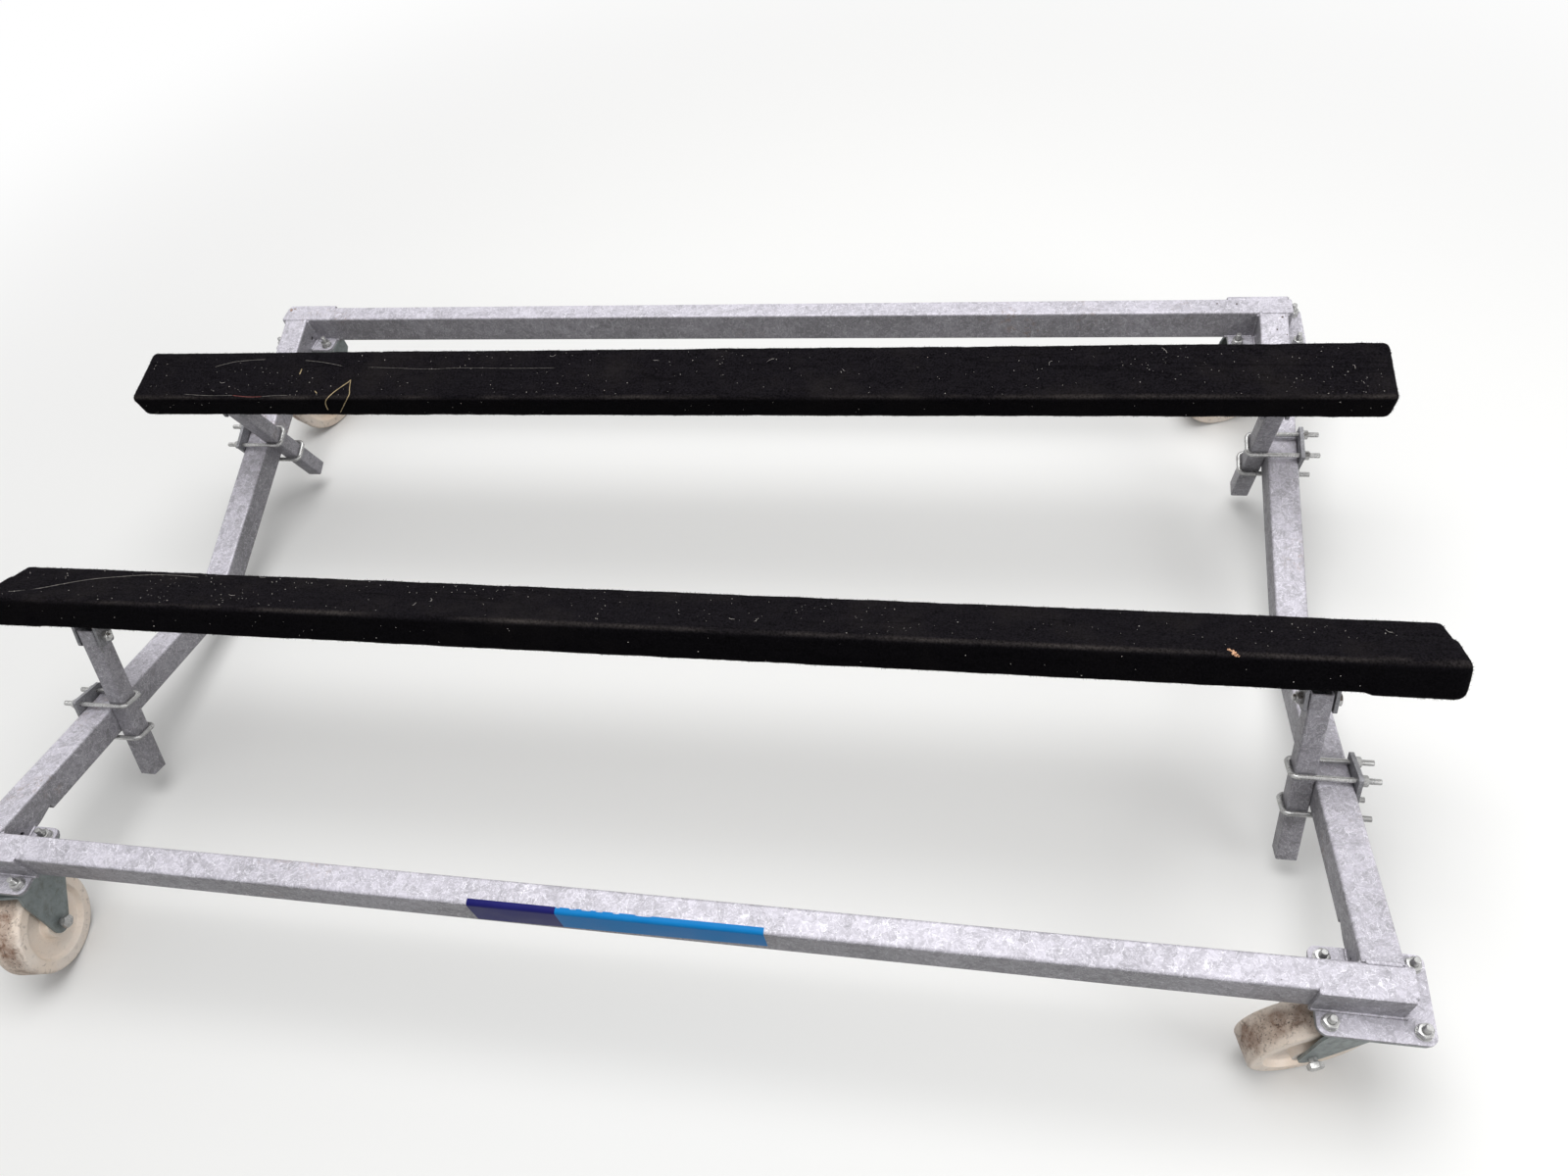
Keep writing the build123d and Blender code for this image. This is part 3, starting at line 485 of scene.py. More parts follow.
class Shape:
    """One piece's mesh, gathered from rings of points."""

    def __init__(self):
        self.points = []
        self.faces = []

    def skin(self, rings, place=Matrix(), loop=False):
        """Joins rings of equal length, and either the last to the first or a cap on each end."""
        start, sides = len(self.points), len(rings[0])
        for ring in rings:
            self.points += [place @ Vector(point) for point in ring]
        for i in range(len(rings) - (0 if loop else 1)):
            a, b = start + i * sides, start + (i + 1) % len(rings) * sides
            for j in range(sides):
                k = (j + 1) % sides
                self.faces.append((a + j, a + k, b + k, b + j))
        if not loop:
            last = start + (len(rings) - 1) * sides
            self.faces.append(tuple(start + j for j in reversed(range(sides))))
            self.faces.append(tuple(last + j for j in range(sides)))

    def lathe(self, place, profile, sides=28, loop=True):
        """Turns a profile of (radius, height) about Z."""
        self.skin([circle(r, z, sides) for r, z in profile], place, loop)

    def washer(self, place, bore, radius, height):
        edge = 0.2 * height
        self.lathe(place, (
            (bore, 0), (radius - edge, 0), (radius, edge), (radius, height - edge), (radius - edge, height),
            (bore, height),
        ))

    def hexagon(self, place, flats, height, bore=0.0, sides=36):
        """Hexagon nut, or bolt head where bore is 0, with its corners chamfered at both ends."""
        turns = [tau * k / sides for k in range(sides)]
        inner = flats / 2 * 0.97
        reach = [flats / 2 / cos(t % (tau / 6) - tau / 12) for t in turns]
        drop = [(r - inner) * tan(radians(28)) for r in reach]
        rings = [
            circle(inner, 0, sides),
            [(r * cos(t), r * sin(t), d) for t, r, d in zip(turns, reach, drop)],
            [(r * cos(t), r * sin(t), height - d) for t, r, d in zip(turns, reach, drop)],
            circle(inner, height, sides),
        ]
        if bore:
            lead = 0.12 * bore
            lining = ((bore + lead, height), (bore, height - lead), (bore, lead), (bore + lead, 0))
            rings += [circle(r, z, sides) for r, z in lining]
        self.skin(rings, place, loop=bool(bore))

    def thread(self, place, radius, length, pitch, sides=14):
        """Threaded rod's end from z = 0 up, with a chamfered tip."""
        levels = max(4, round(length / pitch * 4))
        depth = 0.32 * pitch
        rings = []
        for i in range(levels + 1):
            z = length * i / levels
            taper = radius + 0.4 * pitch - max(0.0, z - length + pitch) * 1.2
            ring = []
            for k in range(sides):
                turn = tau * k / sides
                wave = abs((z / pitch - k / sides) % 1 * 2 - 1)
                r = min(radius - depth + depth * wave, taper)
                ring.append((r * cos(turn), r * sin(turn), z))
            rings.append(ring)
        self.skin(rings, place)

    def rod(self, place, radius, length):
        tip = 0.0006
        self.lathe(place, ((radius, 0), (radius, length - tip), (radius - tip, length)), loop=False)

    def tube(self, path, radius, sides=8, seed=0, ripple=0.0, pitch=0.004, flat=1.0):
        """Sweeps a round section along a path; ripple gives a weld its scales."""
        points = [Vector(point) for point in path]
        rings, travelled = [], 0.0
        for i, point in enumerate(points):
            ahead = (points[min(i + 1, len(points) - 1)] - points[max(i - 1, 0)]).normalized()
            across = ahead.orthogonal() if abs(ahead.z) > 0.9 else ahead.cross(Vector((0, 0, 1))).normalized()
            up = across.cross(ahead).normalized()
            if i:
                travelled += (point - points[i - 1]).length
            swell = 1 + ripple * (abs(sin(pi * travelled / pitch)) - 0.5)
            swell += ripple * noise.noise(Vector((travelled * 90, seed, 0)))
            size = radius * swell * (0.35 if i in (0, len(points) - 1) else 1.0)
            rings.append([
                point + across * size * cos(tau * k / sides) + up * size * flat * sin(tau * k / sides)
                for k in range(sides)
            ])
        self.skin(rings)

    def blade(self, place, root, wide, tip):
        """One flat fibre, its root twice wide across."""
        start = len(self.points)
        self.points += [place @ (root - wide), place @ (root + wide), place @ (root + tip)]
        self.faces.append((start, start + 1, start + 2))

    def piece(self, name, slot, body, smooth=35, material=None):
        """Makes the object, gives it its finish and sets it on its body."""
        mesh = bpy.data.meshes.new(name)
        mesh.from_pydata([tuple(point) for point in self.points], [], self.faces)
        soft = bmesh.new()
        soft.from_mesh(mesh)
        bmesh.ops.recalc_face_normals(soft, faces=soft.faces)
        soft.to_mesh(mesh)
        soft.free()
        return settle(mesh, name, slot, body, smooth, material)


def settle(mesh, name, slot, body, smooth=35, material=None):
    """Links a mesh as a piece with its finish, body and shading."""
    mesh.polygons.foreach_set("use_smooth", [True] * len(mesh.polygons))
    mesh.set_sharp_from_angle(angle=radians(smooth))
    mesh.materials.append(MATERIALS[material or slot])
    piece = linked(name, mesh)
    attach(piece, body)
    return piece


def placed(origin, axis, across=None):
    """Matrix with its Z along axis and its X as near across as it can be."""
    z = Vector(axis).normalized()
    x = Vector(across) if across else z.orthogonal()
    x = (x - z * x.dot(z)).normalized()
    place = Matrix((x, z.cross(x), z)).transposed().to_4x4()
    place.translation = Vector(origin)
    return place


def steps(start, end, step):
    """Points from start to end, about step apart."""
    start, end = Vector(start), Vector(end)
    count = max(2, round((end - start).length / step))
    return [start.lerp(end, i / count) for i in range(count + 1)]


def vertices_of(node):
    return [vertex.co for vertex in NODES[node].data.vertices]


def add_castor_bolts(corner):
    """Four bolts up through a castor's plate and its bracket, with washers and nuts."""
    flats, head, washer, nut, bore, radius, pitch = 0.017, 0.0064, 0.002, 0.0084, 0.0047, 0.0049, 0.0015
    mount = MOUNTS[f"{corner}_castor_bolts"]
    middle = Vector(mount["pos_m"])
    reach = Vector((mount["dims"]["spacing_x_mm"], mount["dims"]["spacing_y_mm"])) * MM / 2
    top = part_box(f"corner_bracket_{corner}")[0].z + BRACKET_FLAT
    upward = (0, 0, 1)
    shape = Shape()
    for i, (dx, dy) in enumerate(SQUARE):
        x, y = middle.x + dx * reach.x, middle.y + dy * reach.y
        turn = Vector((cos(i * 1.3), sin(i * 1.3), 0))
        shape.hexagon(placed((x, y, middle.z), (0, 0, -1), turn), flats, head)
        shape.washer(placed((x, y, top), upward, turn), 0.0055, 0.0105, washer)
        shape.hexagon(placed((x, y, top + washer), upward, turn), flats, nut, bore)
        length = 0.0255 + 0.0012 * (i % 3)
        shape.thread(placed((x, y, top - 0.004), upward, turn), radius, length, pitch)
    shape.piece(f"castor_bolts_{corner}", "bright_zinc", "frame")


def u_bolt_legs(node, side):
    """Ends of a U-bolt pair's four legs: the vertices furthest out, gathered by place."""
    points = vertices_of(node)
    far = max(point.x * side for point in points)
    legs = []
    for point in (p for p in points if p.x * side > far - 0.0005):
        for leg in legs:
            if (leg[0] - point).length < 0.012:
                leg.append(point)
                break
        else:
            legs.append([point])
    return [sum(leg, Vector()) / len(leg) for leg in legs]


def limits(node, axis, side):
    """Outer and inner limits of a node along X (0) or Y (1), on one side of the frame."""
    ends = [point[axis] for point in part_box(node)]
    return ends[::-1] if side > 0 else ends


def add_u_bolt_nuts(corner):
    """Washers, nuts and threads on the four legs, outside the clamp plate."""
    flats, washer, nut, bore, radius, pitch = 0.0142, 0.0016, 0.0072, 0.0040, 0.0044, 0.00125
    side = CORNERS[corner][0]
    face = limits(f"clamp_plate_{corner}", 0, side)[0]
    axis = (side, 0, 0)
    shape = Shape()
    for i, end in enumerate(u_bolt_legs(f"u_bolts_{corner}", side)):
        turn = Vector((0, cos(0.5 + i * 1.1), sin(0.5 + i * 1.1)))
        shape.washer(placed((face, end.y, end.z), axis), 0.0043, 0.0092, washer)
        shape.hexagon(placed((face + side * washer, end.y, end.z), axis, turn), flats, nut, bore)
        length = abs(end.x - face) + 0.0012
        shape.thread(placed((face - side * 0.001, end.y, end.z), axis, turn), radius, length, pitch)
    shape.piece(f"u_bolt_nuts_{corner}", "bright_zinc", "frame")


def add_pivot_bolt(bunk, word):
    """Hexagon bolt with a washer and a self-locking nut, in place of the plain solid."""
    flats, head, washer, nut, bore, radius, pitch = 0.0165, 0.005, 0.0015, 0.0068, 0.0046, 0.005, 0.0015
    node = f"pivot_bolt_{bunk}_{word}"
    bracket = f"bunk_bracket_{bunk}_{word}"
    joint = JOINTS[f"bunk_tilt_{bunk}"]
    axis, origin = Vector(joint["axis"]), Vector(joint["pos_m"])
    low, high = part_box(bracket)
    middle = origin + axis * (((low + high) / 2 - origin).x / axis.x)
    half = max((point - middle).dot(axis) for point in vertices_of(bracket))
    inward = axis if word == "left" else -axis
    turn = Vector((0, 0.3, 1))
    near, far = middle - inward * half, middle + inward * half
    shape = Shape()
    shape.washer(placed(near, -inward, turn), radius, 0.0098, washer)
    shape.hexagon(placed(near - inward * washer, -inward, turn), flats, head)
    shape.rod(placed(near, inward, turn), radius, 2 * half)
    shape.hexagon(placed(far, inward, turn), flats, nut, bore)
    shape.lathe(placed(far + inward * (nut - 0.0002), inward), (
        (bore, 0), (0.0076, 0), (0.0074, 0.0012), (0.0064, 0.0018), (bore, 0.0016),
    ))
    shape.thread(placed(far, inward, turn), radius - 0.0001, 0.0118, pitch)
    piece = shape.piece(f"pivot_fastener_{bunk}_{word}", "bright_zinc", f"bunk_{bunk}")
    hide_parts(node)


def add_axle(corner):
    """Wheel's axle bolt with its head and its self-locking nut, in place of the plain solid."""
    flats, head, nut, bore, radius, pitch = 0.019, 0.0075, 0.0086, 0.0055, 0.006, 0.00175
    node = f"castor_axle_{corner}"
    joint = JOINTS[f"wheel_spin_{corner}"]
    axis, middle = Vector(joint["axis"]), Vector(joint["pos_m"])
    half = max((point - middle).dot(axis) for point in vertices_of(f"castor_fork_{corner}"))
    turn = Vector((0.2, 0.1, 1))
    near, far = middle - axis * half, middle + axis * half
    shape = Shape()
    shape.rod(placed(near, axis), radius, 2 * half)
    shape.hexagon(placed(far, axis, turn), flats, head)
    shape.hexagon(placed(near, -axis, turn), flats, nut, bore)
    shape.lathe(placed(near - axis * (nut - 0.0002), -axis), (
        (bore, 0), (0.0088, 0), (0.0085, 0.0009), (0.0074, 0.0014), (bore, 0.0013),
    ))
    shape.thread(placed(near, -axis, turn), radius - 0.0001, 0.0098, pitch)
    piece = shape.piece(f"axle_fastener_{corner}", "bright_zinc", f"swivel_{corner}")
    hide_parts(node)


def add_welds(corner):
    """Beads where the cross member meets the rail, and round the corner bracket."""
    side, end = CORNERS[corner]
    rail, bracket = corner.split("_")[0] + "_rail", f"corner_bracket_{corner}"
    outer, inner = limits(rail, 1, end)
    tip = limits(rail, 0, side)[0]
    arm_out, arm_in = limits(f"cross_arm_{corner}", 0, side)
    far, back = limits(bracket, 0, side)[1], limits(bracket, 1, end)[1]
    top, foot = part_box(rail)[1].z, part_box(bracket)[0].z + BRACKET_FLAT
    proud = outer + end * BRACKET_FLAT
    near_x, far_x = arm_out - side * 0.004, arm_in + side * 0.004
    # One row a bead: start, end, radius, height against width
    runs = (
        ((near_x, inner, top - 0.0015), (far_x, inner, top - 0.0015), 0.0032, 1),
        ((arm_out, inner, top - 0.004), (arm_out, inner, foot), 0.0030, 1),
        ((arm_in, inner, top - 0.004), (arm_in, inner, foot), 0.0030, 1),
        ((far, outer, top - 0.0006), (tip - side * 0.006, outer, top - 0.0006), 0.0046, 0.24),
        ((far, proud, foot + 0.0005), (tip, proud, foot + 0.0005), 0.0026, 1),
        ((tip, outer, foot), (tip, inner, foot), 0.0028, 1),
        ((arm_out, inner, foot), (arm_out, back, foot), 0.0026, 1),
        ((arm_in, inner, foot), (arm_in, back, foot), 0.0026, 1),
        ((far, inner, foot - 0.001), (arm_in, inner, foot - 0.001), 0.0026, 1),
    )
    shape = Shape()
    for i, (start, finish, radius, flat) in enumerate(runs):
        ripple = 0.16 if flat == 1 else 0.05
        shape.tube(steps(start, finish, BEAD_STEP), radius, 9, seed=i * 7.3, ripple=ripple, flat=flat)
    shape.piece(f"welds_{corner}", "galvanised_steel", "frame", smooth=70)


def add_mitre_weld(word):
    """Bead over the mitre in the middle of a V-shaped cross member."""
    node = f"cross_arm_front_{word}"
    low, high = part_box(node)
    top = max(point.z for point in vertices_of(node) if abs(point.y - high.y) < 0.0005)
    inset = 0.004
    shape = Shape()
    for i, x in enumerate((low.x, high.x)):
        line = steps((x, high.y, top - inset), (x, high.y, low.z + inset), BEAD_STEP)
        shape.tube(line, 0.0024, 9, seed=i, ripple=0.14)
    for z in (top - 0.001, low.z + 0.001):
        line = steps((low.x + inset, high.y, z), (high.x - inset, high.y, z), BEAD_STEP)
        shape.tube(line, 0.0027, 9, seed=z * 50, ripple=0.14)
    shape.piece(f"mitre_weld_{word}", "galvanised_steel", "frame", smooth=70)


def bunk_place(bunk):
    """Matrix of a bunk's own frame: X along its bolts, Z out of its carpeted face."""
    joint = JOINTS[f"bunk_tilt_{bunk}"]
    return placed(joint["pos_m"], MOUNTS[f"{bunk}_bunk_face"]["axis"], joint["axis"])


def local_box(node, place):
    """Lowest and highest corners of a node in a frame of its own."""
    inverse = place.inverted()
    points = [inverse @ point for point in vertices_of(node)]
    return [Vector([pick(point[k] for point in points) for k in range(3)]) for pick in (min, max)]


def section(half, low, high, radius, counts):
    """Rounded rectangle in Y and Z, from the middle of its underside; counts are points per run."""
    across, upright, corner = counts
    middles = (
        ((half - radius, low + radius), -90), ((half - radius, high - radius), 0),
        ((radius - half, high - radius), 90), ((radius - half, low + radius), 180),
    )
    arcs = []
    for (y, z), start in middles:
        angles = [radians(start + 90 * k / corner) for k in range(corner + 1)]
        arcs.append([Vector((0, y + radius * cos(a), z + radius * sin(a))) for a in angles])
    below = Vector((0, 0, low))
    points = [below.lerp(arcs[0][0], k / (across // 2)) for k in range(across // 2)]
    for i, arc in enumerate(arcs):
        points += arc[:-1]
        target = arcs[i + 1][0] if i < 3 else below
        runs = (upright, across, upright, across // 2)[i]
        points += [arc[-1].lerp(target, k / runs) for k in range(runs)]
    return points


# One row a seam on the carpets' tops: bunk, start and end along and across the bunk (mm), depth (mm)
SEAMS = (
    ("front", (-1091, 15), (-975, 15), 1.5),
    ("front", (976, 11), (1100, 8), 2.4),
    ("front", (708, 45), (757, -57), 1.6),
    ("rear", (-610, 57), (-570, -57), 1.3),
)
# One row a doubled flap at a bunk's end: bunk, inner end (mm), outward side, edge across (mm), thickness (mm)
FLAPS = (
    ("front", 985, 1, 9, 3.6),
    ("front", -985, -1, 15, 1.6),
)
# One row a loose tuft on a carpet's near lower edge: bunk, place along it (mm), fibres
TUFTS = (
    ("front", 1052, 60),
    ("front", 1071, 40),
)
# One row a section at a carpet's rounded end: place in from the end (m), how far it is drawn in (m)
ROUNDED_END = (
    (-0.0058, 0.0240), (-0.0055, 0.0190), (-0.0048, 0.0140), (-0.0038, 0.0100), (-0.0026, 0.0070),
    (-0.0008, 0.0040), (0.0014, 0.0020), (0.0042, 0.0006),
)
CARPET_STEP = 0.0056  # size of the carpet's faces
CARPET_THICK = 0.0034
CARPET_TUCK = 0.020  # carpet's strip under each edge of the board
TOP_FROM = 0.08  # lowest height of the carpet's top above the bolts
SEAM_WIDTH, FLAP_SLOPE, FLAP_EDGE = 5, 12, 4  # mm


def seam_depth(bunk, point):
    """How far the carpet dips at a seam or rises on a flap, at a point of the bunk's own frame."""
    x, y = point.x / MM, point.y / MM
    rise = 0.0
    for name, (x0, y0), (x1, y1), depth in SEAMS:
        if name != bunk or point.z < TOP_FROM:
            continue
        run = Vector((x1 - x0, y1 - y0))
        along = max(0.0, min(1.0, (Vector((x - x0, y - y0)).dot(run)) / run.length_squared))
        gap = (Vector((x0, y0)) + run * along - Vector((x, y))).length
        rise -= depth * max(0.0, 1 - gap / SEAM_WIDTH)
    for name, start, side, edge, thickness in FLAPS:
        if name == bunk:
            onto_flap = max(0.0, min(1.0, (x - start) * side / FLAP_SLOPE))
            rise += thickness * onto_flap * max(0.0, min(1.0, (edge - y) / FLAP_EDGE))
    return rise * MM


def carpet_rings(low, high):
    """Sections round the board from one end to the other, drawn in over both."""
    half, middle = (high.y - low.y) / 2, (high.y + low.y) / 2
    radius, corner, margin = 0.0105, 6, 0.008
    counts = (
        2 * round((half - radius) / CARPET_STEP), round((high.z - low.z - 2 * radius) / CARPET_STEP), corner,
    )
    straight = high.x - low.x - 2 * margin
    columns = round(straight / CARPET_STEP)
    stations = [(low.x + a, inset) for a, inset in ROUNDED_END]
    stations += [(low.x + margin + straight * k / columns, 0.0) for k in range(columns + 1)]
    stations += [(high.x - a, inset) for a, inset in reversed(ROUNDED_END)]
    rings = []
    for x, inset in stations:
        ring = section(half - inset, low.z + inset, high.z - inset, max(0.0012, radius - 0.6 * inset), counts)
        rings.append([Vector((x, point.y + middle, point.z)) for point in ring])
    return rings


def any_way(draw):
    return Vector([draw.uniform(-1, 1) for _ in range(3)])


def lay(shape, name, bunk, finish):
    """Makes a piece that rides with a bunk, with the finish given."""
    shape.piece(f"{name}_{bunk}", "black_carpet", f"bunk_{bunk}", material=finish)


def pile_roots(body, draw):
    """Places and normals of the fibres, drawn at random over the carpet's outer faces."""
    outside = [face for face in body.faces if len(face.verts) == 4]
    roots = []
    for _ in range(PILE_FIBRES):
        face = outside[draw.randrange(len(outside))]
        a, b = draw.random(), draw.random()
        corners = [vertex.co for vertex in face.verts]
        root = corners[0].lerp(corners[1], a).lerp(corners[3].lerp(corners[2], a), b)
        roots.append((root, face.normal.copy()))
    return roots


def add_pile(bunk, place, low, roots, draw):
    """Short fibres all over a carpet, and longer ones in its loose tufts."""
    pile = Shape()
    for name, middle, count in TUFTS:
        if name != bunk:
            continue
        for _ in range(count):
            x = middle * MM + draw.gauss(0, 0.0035)
            root = Vector((x, low.y + 0.002, low.z + draw.uniform(0.004, 0.007)))
            tip = Vector((draw.gauss(0, 0.3), -0.6, draw.uniform(-1.2, -0.6))).normalized()
            pile.blade(place, root, Vector((0.0004, 0, 0)), tip * draw.uniform(0.004, 0.008))
    for root, normal in roots:
        lean = any_way(draw)
        tip = (normal + lean * 0.75).normalized() * draw.uniform(0.0022, 0.0042)
        wide = tip.cross(normal + Vector((0.1, 0.2, 0.05))).normalized() * 0.00032
        pile.blade(place, root - normal * 0.0008, wide, tip)
    lay(pile, "carpet_pile", bunk, f"bunk_carpet_{bunk}")


def add_carpet(bunk):
    """Carpet round the board and over its ends, open in the strip underneath."""
    node = f"bunk_carpet_{bunk}"
    place = bunk_place(bunk)
    low, high = local_box(node, place)
    board_low, board_high = local_box(f"bunk_board_{bunk}", place)
    shape = Shape()
    shape.skin(carpet_rings(low, high))
    body = bmesh.new()
    points = [body.verts.new(point) for point in shape.points]
    for face in shape.faces:
        body.faces.new([points[i] for i in face])
    bmesh.ops.recalc_face_normals(body, faces=body.faces)
    body.normal_update()
    seed = 11.0 if bunk == "front" else 57.0
    for point in body.verts:
        spot = point.co + Vector((seed, 0, 0))
        lump = 0.0008 * noise.noise(spot * 16) + 0.0005 * noise.noise(spot * 85) + seam_depth(bunk, point.co)
        point.co += point.normal * lump
    strip = []
    for face in body.faces:
        x, y, z = face.calc_center_median()
        if (
            z < low.z + 0.004 and board_low.x + CARPET_TUCK < x < board_high.x - CARPET_TUCK
            and board_low.y + CARPET_TUCK < y < board_high.y - CARPET_TUCK
        ):
            strip.append(face)
    bmesh.ops.delete(body, geom=strip, context="FACES")
    body.normal_update()
    draw = random.Random(5 if bunk == "front" else 6)
    roots = pile_roots(body, draw)
    mesh = bpy.data.meshes.new(f"carpet_{bunk}")
    body.to_mesh(mesh)
    body.free()
    cloth = linked("cloth", mesh)
    thick = cloth.modifiers.new("thick", "SOLIDIFY")
    thick.thickness = CARPET_THICK
    thick.offset = -1
    solid = bpy.data.meshes.new_from_object(cloth.evaluated_get(bpy.context.evaluated_depsgraph_get()))
    bpy.data.objects.remove(cloth)
    solid.transform(place)
    piece = settle(solid, f"carpet_{bunk}", "black_carpet", f"bunk_{bunk}", 60, node)
    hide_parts(node)
    add_pile(bunk, place, low, roots, draw)
    return low, high


# One row a loose thread or straw on a carpet: bunk, name, radius (mm), finish, points of the bunk's frame
# (mm), with a third number where a point isn't on the face
THREADS = (
    ("front", "thread", 0.45, "thread", (
        (-1039, -38), (-1002, -30), (-963, -4), (-924, 16), (-883, 26), (-843, 36), (-787, 39), (-745, 34),
    )),
    ("rear", "thread_a", 0.35, "thread", ((-934, 17), (-916, 24), (-885, 32), (-835, 34))),
    ("rear", "thread_b", 0.35, "thread", ((-753, 31), (-709, 27), (-673, 17))),
    ("rear", "thread_c", 0.2, "thread", (
        (-620, 14), (-567, 12), (-496, 8), (-446, 12), (-350, 9), (-261, 10),
    )),
    ("rear", "thread_d", 0.3, "thread", ((-973, -47), (-940, -50), (-905, -51), (-872, -50))),
    ("rear", "thread_e", 0.45, "red_thread", ((-872, -50), (-850, -53), (-828, -54), (-812, -53))),
    ("rear", "thread_f", 0.3, "thread", ((-812, -53), (-790, -50), (-761, -50))),
    ("rear", "straw_loop", 0.6, "straw", (
        (-693, -59, 66), (-691, -59, 81), (-682, -58, 95), (-671, -43), (-657, -28), (-649, -20), (-646, -15),
    )),
    ("rear", "straw_tail", 0.6, "straw", (
        (-646, -15), (-643, -34), (-638, -46), (-639, -57, 97), (-655, -59, 79), (-673, -59, 58),
    )),
    ("rear", "straw_stub", 0.7, "straw", ((-709, -40), (-703, -46))),
    ("rear", "straw_short", 0.7, "straw", ((-753, 11), (-753, -2))),
)


def add_threads(bunk, top):
    """Loose threads and straws that lie on a carpet."""
    place = bunk_place(bunk)
    for name, word, radius, finish, points in THREADS:
        if name != bunk:
            continue
        curve = bpy.data.curves.new(word, "CURVE")
        curve.dimensions = "3D"
        spline = curve.splines.new("NURBS")
        spline.points.add(len(points) - 1)
        for point, (x, y, *height) in zip(spline.points, points):
            point.co = (x * MM, y * MM, (height[0] * MM if height else top) + 0.0012, 1)
        spline.order_u = 3
        spline.use_endpoint_u = True
        helper = bpy.data.objects.new(word, curve)
        line = bpy.data.meshes.new_from_object(helper)
        path = [place @ vertex.co for vertex in line.vertices]
        bpy.data.objects.remove(helper)
        shape = Shape()
        shape.tube(path, radius * MM, 6, seed=len(points), ripple=0.2, pitch=0.003)
        lay(shape, word, bunk, finish)


def add_lint(bunk, low, high):
    """Specks and hairs all over a carpet, some of the specks in nests."""
    place = bunk_place(bunk)
    draw = random.Random(31 if bunk == "front" else 32)
    specks, hairs = Shape(), Shape()
    left, right, near, far = low.x + 0.02, high.x - 0.02, low.y + 0.008, high.y - 0.008
    nests = [(draw.uniform(low.x, high.x), draw.uniform(-0.04, 0.04)) for _ in range(14)]
    for _ in range(LINT_SPECKS):
        x, y = draw.uniform(left, right), draw.uniform(near, far)
        if draw.random() < 0.4:
            nest = draw.choice(nests)
            x = max(left, min(right, nest[0] + draw.gauss(0, 0.035)))
            y = max(near, min(far, nest[1] + draw.gauss(0, 0.014)))
        if draw.random() < 0.86:
            spot, normal = Vector((x, y, high.z + 0.0012)), Vector((0, 0, 1))
        else:
            height = draw.uniform(low.z + 0.006, high.z - 0.008)
            spot, normal = Vector((x, low.y - 0.0012, height)), Vector((0, -1, 0))
        size = draw.choice((0.0004, 0.0004, 0.0005, 0.0005, 0.0006, 0.0008))
        flake = placed(place @ spot, place.to_3x3() @ normal, place.to_3x3() @ any_way(draw))
        flake = flake @ Matrix.Diagonal((1, draw.uniform(0.4, 0.9), 1, 1))
        specks.lathe(flake, ((size * 0.2, -size * 0.5), (size, 0), (size * 0.5, size * 0.5)), 6, loop=False)
    for _ in range(LINT_HAIRS):
        x, y = draw.uniform(low.x + 0.03, high.x - 0.03), draw.uniform(low.y + 0.012, high.y - 0.012)
        turn, bend, length = draw.uniform(0, tau), draw.uniform(-2.5, 2.5), draw.uniform(0.005, 0.016)
        path = []
        for _ in range(6):
            path.append(place @ Vector((x, y, high.z + 0.0014)))
            x += cos(turn) * length / 5
            y += sin(turn) * length / 5
            turn += bend / 5
        hairs.tube(path, 0.00016, 5)
    lay(specks, "lint", bunk, "lint")
    lay(hairs, "hairs", bunk, "lint")


# One row a torn flake on the front bunk's near edge: place along and across the bunk (mm), size (mm)
TORN = (
    (814, -46, 2.0), (817, -48, 2.8), (820, -50, 3.0), (822, -52, 2.6), (819, -53, 2.6), (822, -56, 2.4),
    (824, -55, 2.0), (826, -57, 1.6), (816, -45, 1.6),
)


def add_worn_spot():
    """Torn place on the front bunk's near edge, where the pale backing shows."""
    place = bunk_place("front")
    top = local_box("bunk_carpet_front", place)[1].z
    draw = random.Random(8)
    shape = Shape()
    for x, y, size in TORN:
        spot = Vector((x * MM, y * MM, top - 0.0004 - max(0.0, -50 - y) * 0.35 * MM))
        lean = Vector((draw.uniform(-0.4, 0.4), draw.uniform(-0.9, -0.2), 1))
        flake = placed(place @ spot, place.to_3x3() @ lean)
        flake = flake @ Matrix.Rotation(draw.uniform(0, tau), 4, "Z") @ Matrix.Diagonal((1, 0.62, 1, 1))
        profile = ((size * 0.3 * MM, -0.0015), (size * MM, 0.0005), (size * 0.5 * MM, 0.0019))
        shape.lathe(flake, profile, 7, loop=False)
    shape.piece("worn_spot", "softwood", "bunk_front", material="backing")


# Blue bands and the chips along their top edge: places along the front rail, from its left end (m)
BANDS = (("dark", 0.842, 0.971), ("light", 0.971, 1.261))
CHIPS = (
    (0.9715, 0.978), (0.990, 1.002), (1.006, 1.023), (1.028, 1.040), (1.052, 1.063), (1.082, 1.110),
)
BAND_FOOT = (0.2075, 0.2165)  # height of the lower edge at the bands' left and right ends
FILM = 0.00035


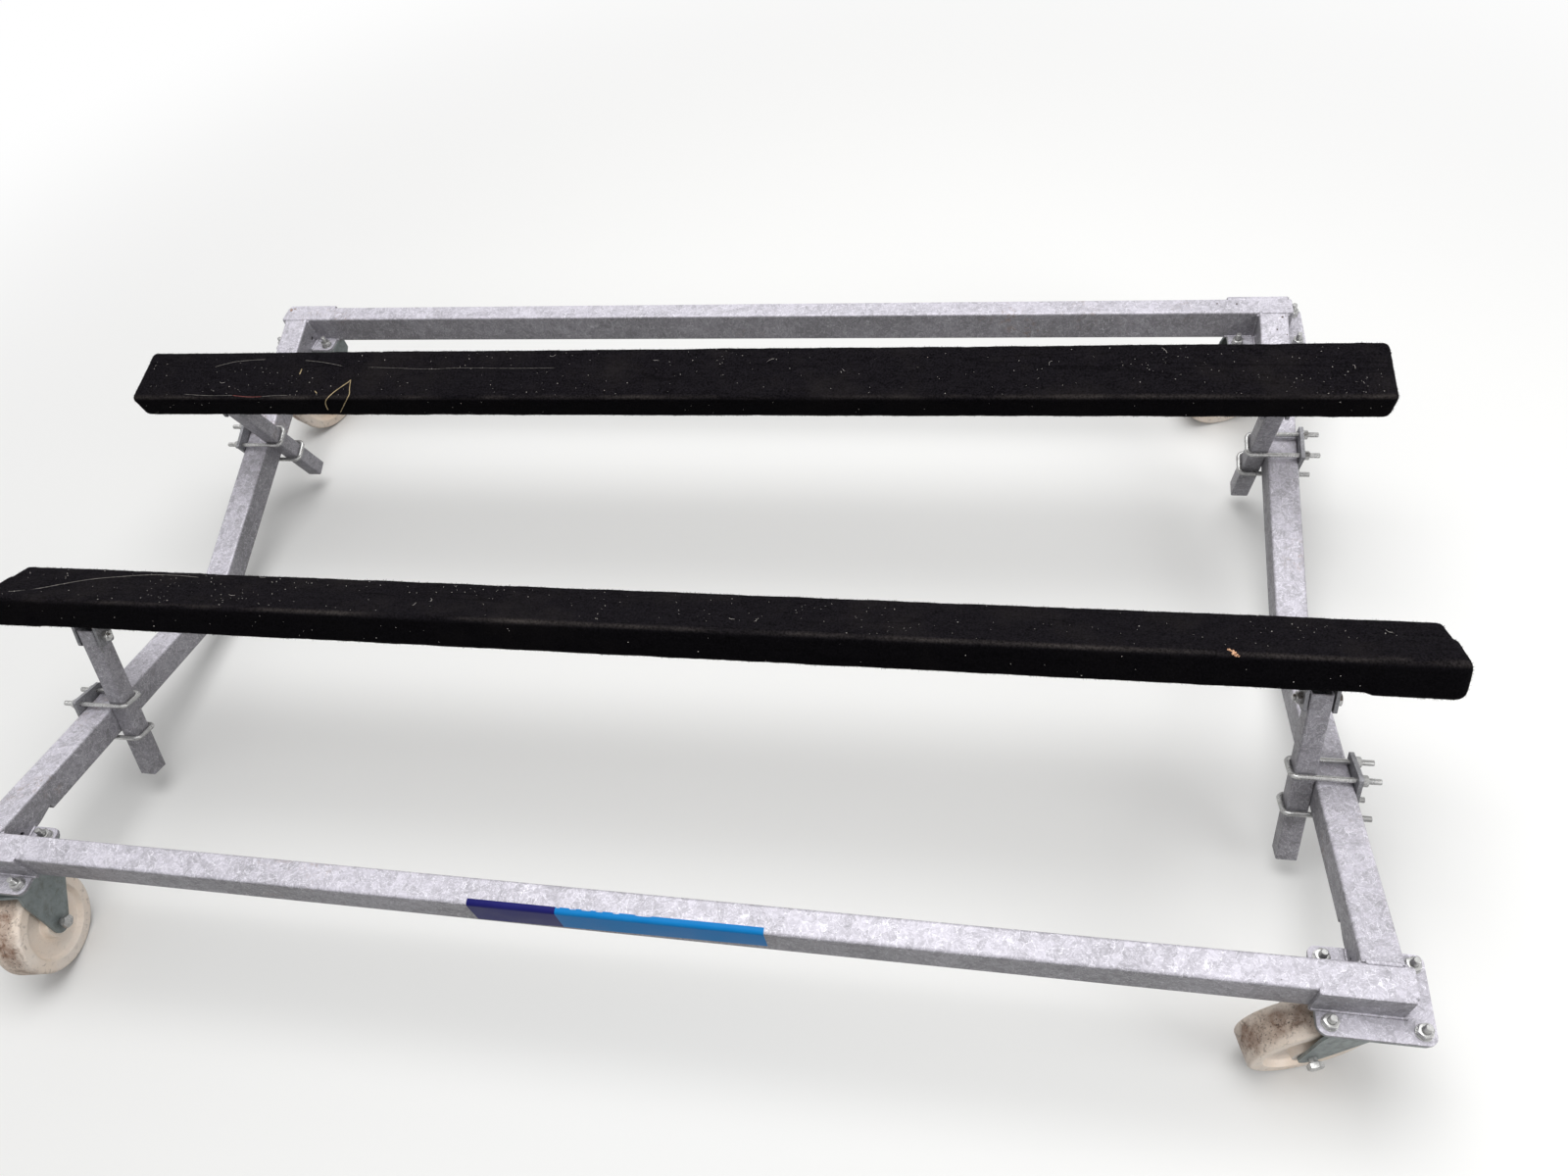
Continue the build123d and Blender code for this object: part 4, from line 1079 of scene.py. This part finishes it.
def add_band():
    """Two blue vinyl bands on the front rail's face, wrapped over its top edge, bare of lettering."""
    low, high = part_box("front_rail")
    bend, over = 0.005, 0.004
    left, right = BANDS[0][1], BANDS[-1][2]
    for word, start, end in BANDS:
        rings = []
        for x in [start + (end - start) * k / 12 for k in range(13)]:
            foot = BAND_FOOT[0] + (BAND_FOOT[1] - BAND_FOOT[0]) * (x - left) / (right - left)
            sides = []
            for level in (-0.00015, FILM):
                side = [(low.x + x, low.y - level, foot)]
                for k in range(7):
                    a = radians(180 - 90 * k / 6)
                    reach = bend + level
                    side.append((low.x + x, low.y + bend + reach * cos(a), high.z - bend + reach * sin(a)))
                side.append((low.x + x, low.y + bend + over, high.z + level))
                sides.append(side)
            inner, outer = sides
            rings.append(outer + inner[::-1])
        shape = Shape()
        shape.skin(rings)
        shape.piece(f"band_{word}", "blue_vinyl", "frame", material=f"{word}_vinyl")
    draw = random.Random(12)
    shape = Shape()
    for start, end in CHIPS:
        middle, half = (start + end) / 2, (end - start) / 2
        ring = []
        for k in range(14):
            turn = tau * k / 14
            x = low.x + middle + half * draw.uniform(0.75, 1.0) * cos(turn)
            ring.append((x, low.y + 0.0082 + draw.uniform(0.0003, 0.0009) * sin(turn)))
        shape.skin([[(x, y, high.z + FILM + lift) for x, y in ring] for lift in (-0.0003, 0.0002)])
    shape.piece("band_chips", "galvanised_steel", "frame")


# One row a spot of rust or dirt on a member's top: node, place in X and Y (mm), radius (mm), finish
SPOTS = (
    ("rear_rail", 885, 662, 2.3, "rust"),
    ("rear_rail", 919, 661, 2.6, "rust"),
    ("rear_rail", 931, 675, 1.8, "rust"),
    ("cross_arm_rear_right", 995, 627, 2.6, "rust"),
    ("cross_arm_rear_right", 985, 601, 2.2, "rust"),
    ("cross_arm_rear_right", 1001, 590, 1.6, "rust"),
    ("rear_rail", -1024, 668, 5.5, "brown_stain"),
    ("rear_rail", -1016, 673, 4.0, "brown_stain"),
    ("rear_rail", -1029, 676, 3.2, "rust"),
)


def add_spots():
    """Thin irregular spots on the tops of the rear members."""
    draw = random.Random(21)
    shapes = {"rust": Shape(), "brown_stain": Shape()}
    for name, x, y, radius, finish in SPOTS:
        above, down = Vector((x * MM, y * MM, 1)), Vector((0, 0, -1))
        struck, spot, normal, _ = NODES[name].ray_cast(above, down)
        if not struck:
            raise SystemExit(f"spot at {x}, {y} misses {name}")
        place = placed(spot, normal, (1, 0, 0))
        edge = []
        for k in range(12):
            reach = radius * MM * draw.uniform(0.6, 1.0)
            edge.append((reach * cos(tau * k / 12), reach * sin(tau * k / 12)))
        levels = ((1.0, -0.0002), (0.92, 0.00012), (0.5, 0.00022))
        shapes[finish].skin([[(share * x, share * y, z) for x, y in edge] for share, z in levels], place)
    for finish, shape in shapes.items():
        shape.piece(f"spots_{finish}", "galvanised_steel", "frame", material=finish)


add_camera()
add_world()
add_lamps()
add_floor()
for corner in CORNERS:
    add_castor_bolts(corner)
    add_u_bolt_nuts(corner)
    add_axle(corner)
    add_welds(corner)
for word in ("left", "right"):
    add_mitre_weld(word)
    for bunk in BUNKS:
        add_pivot_bolt(bunk, word)
for bunk in BUNKS:
    low, high = add_carpet(bunk)
    add_threads(bunk, high.z)
    add_lint(bunk, low, high)
add_worn_spot()
add_band()
add_spots()
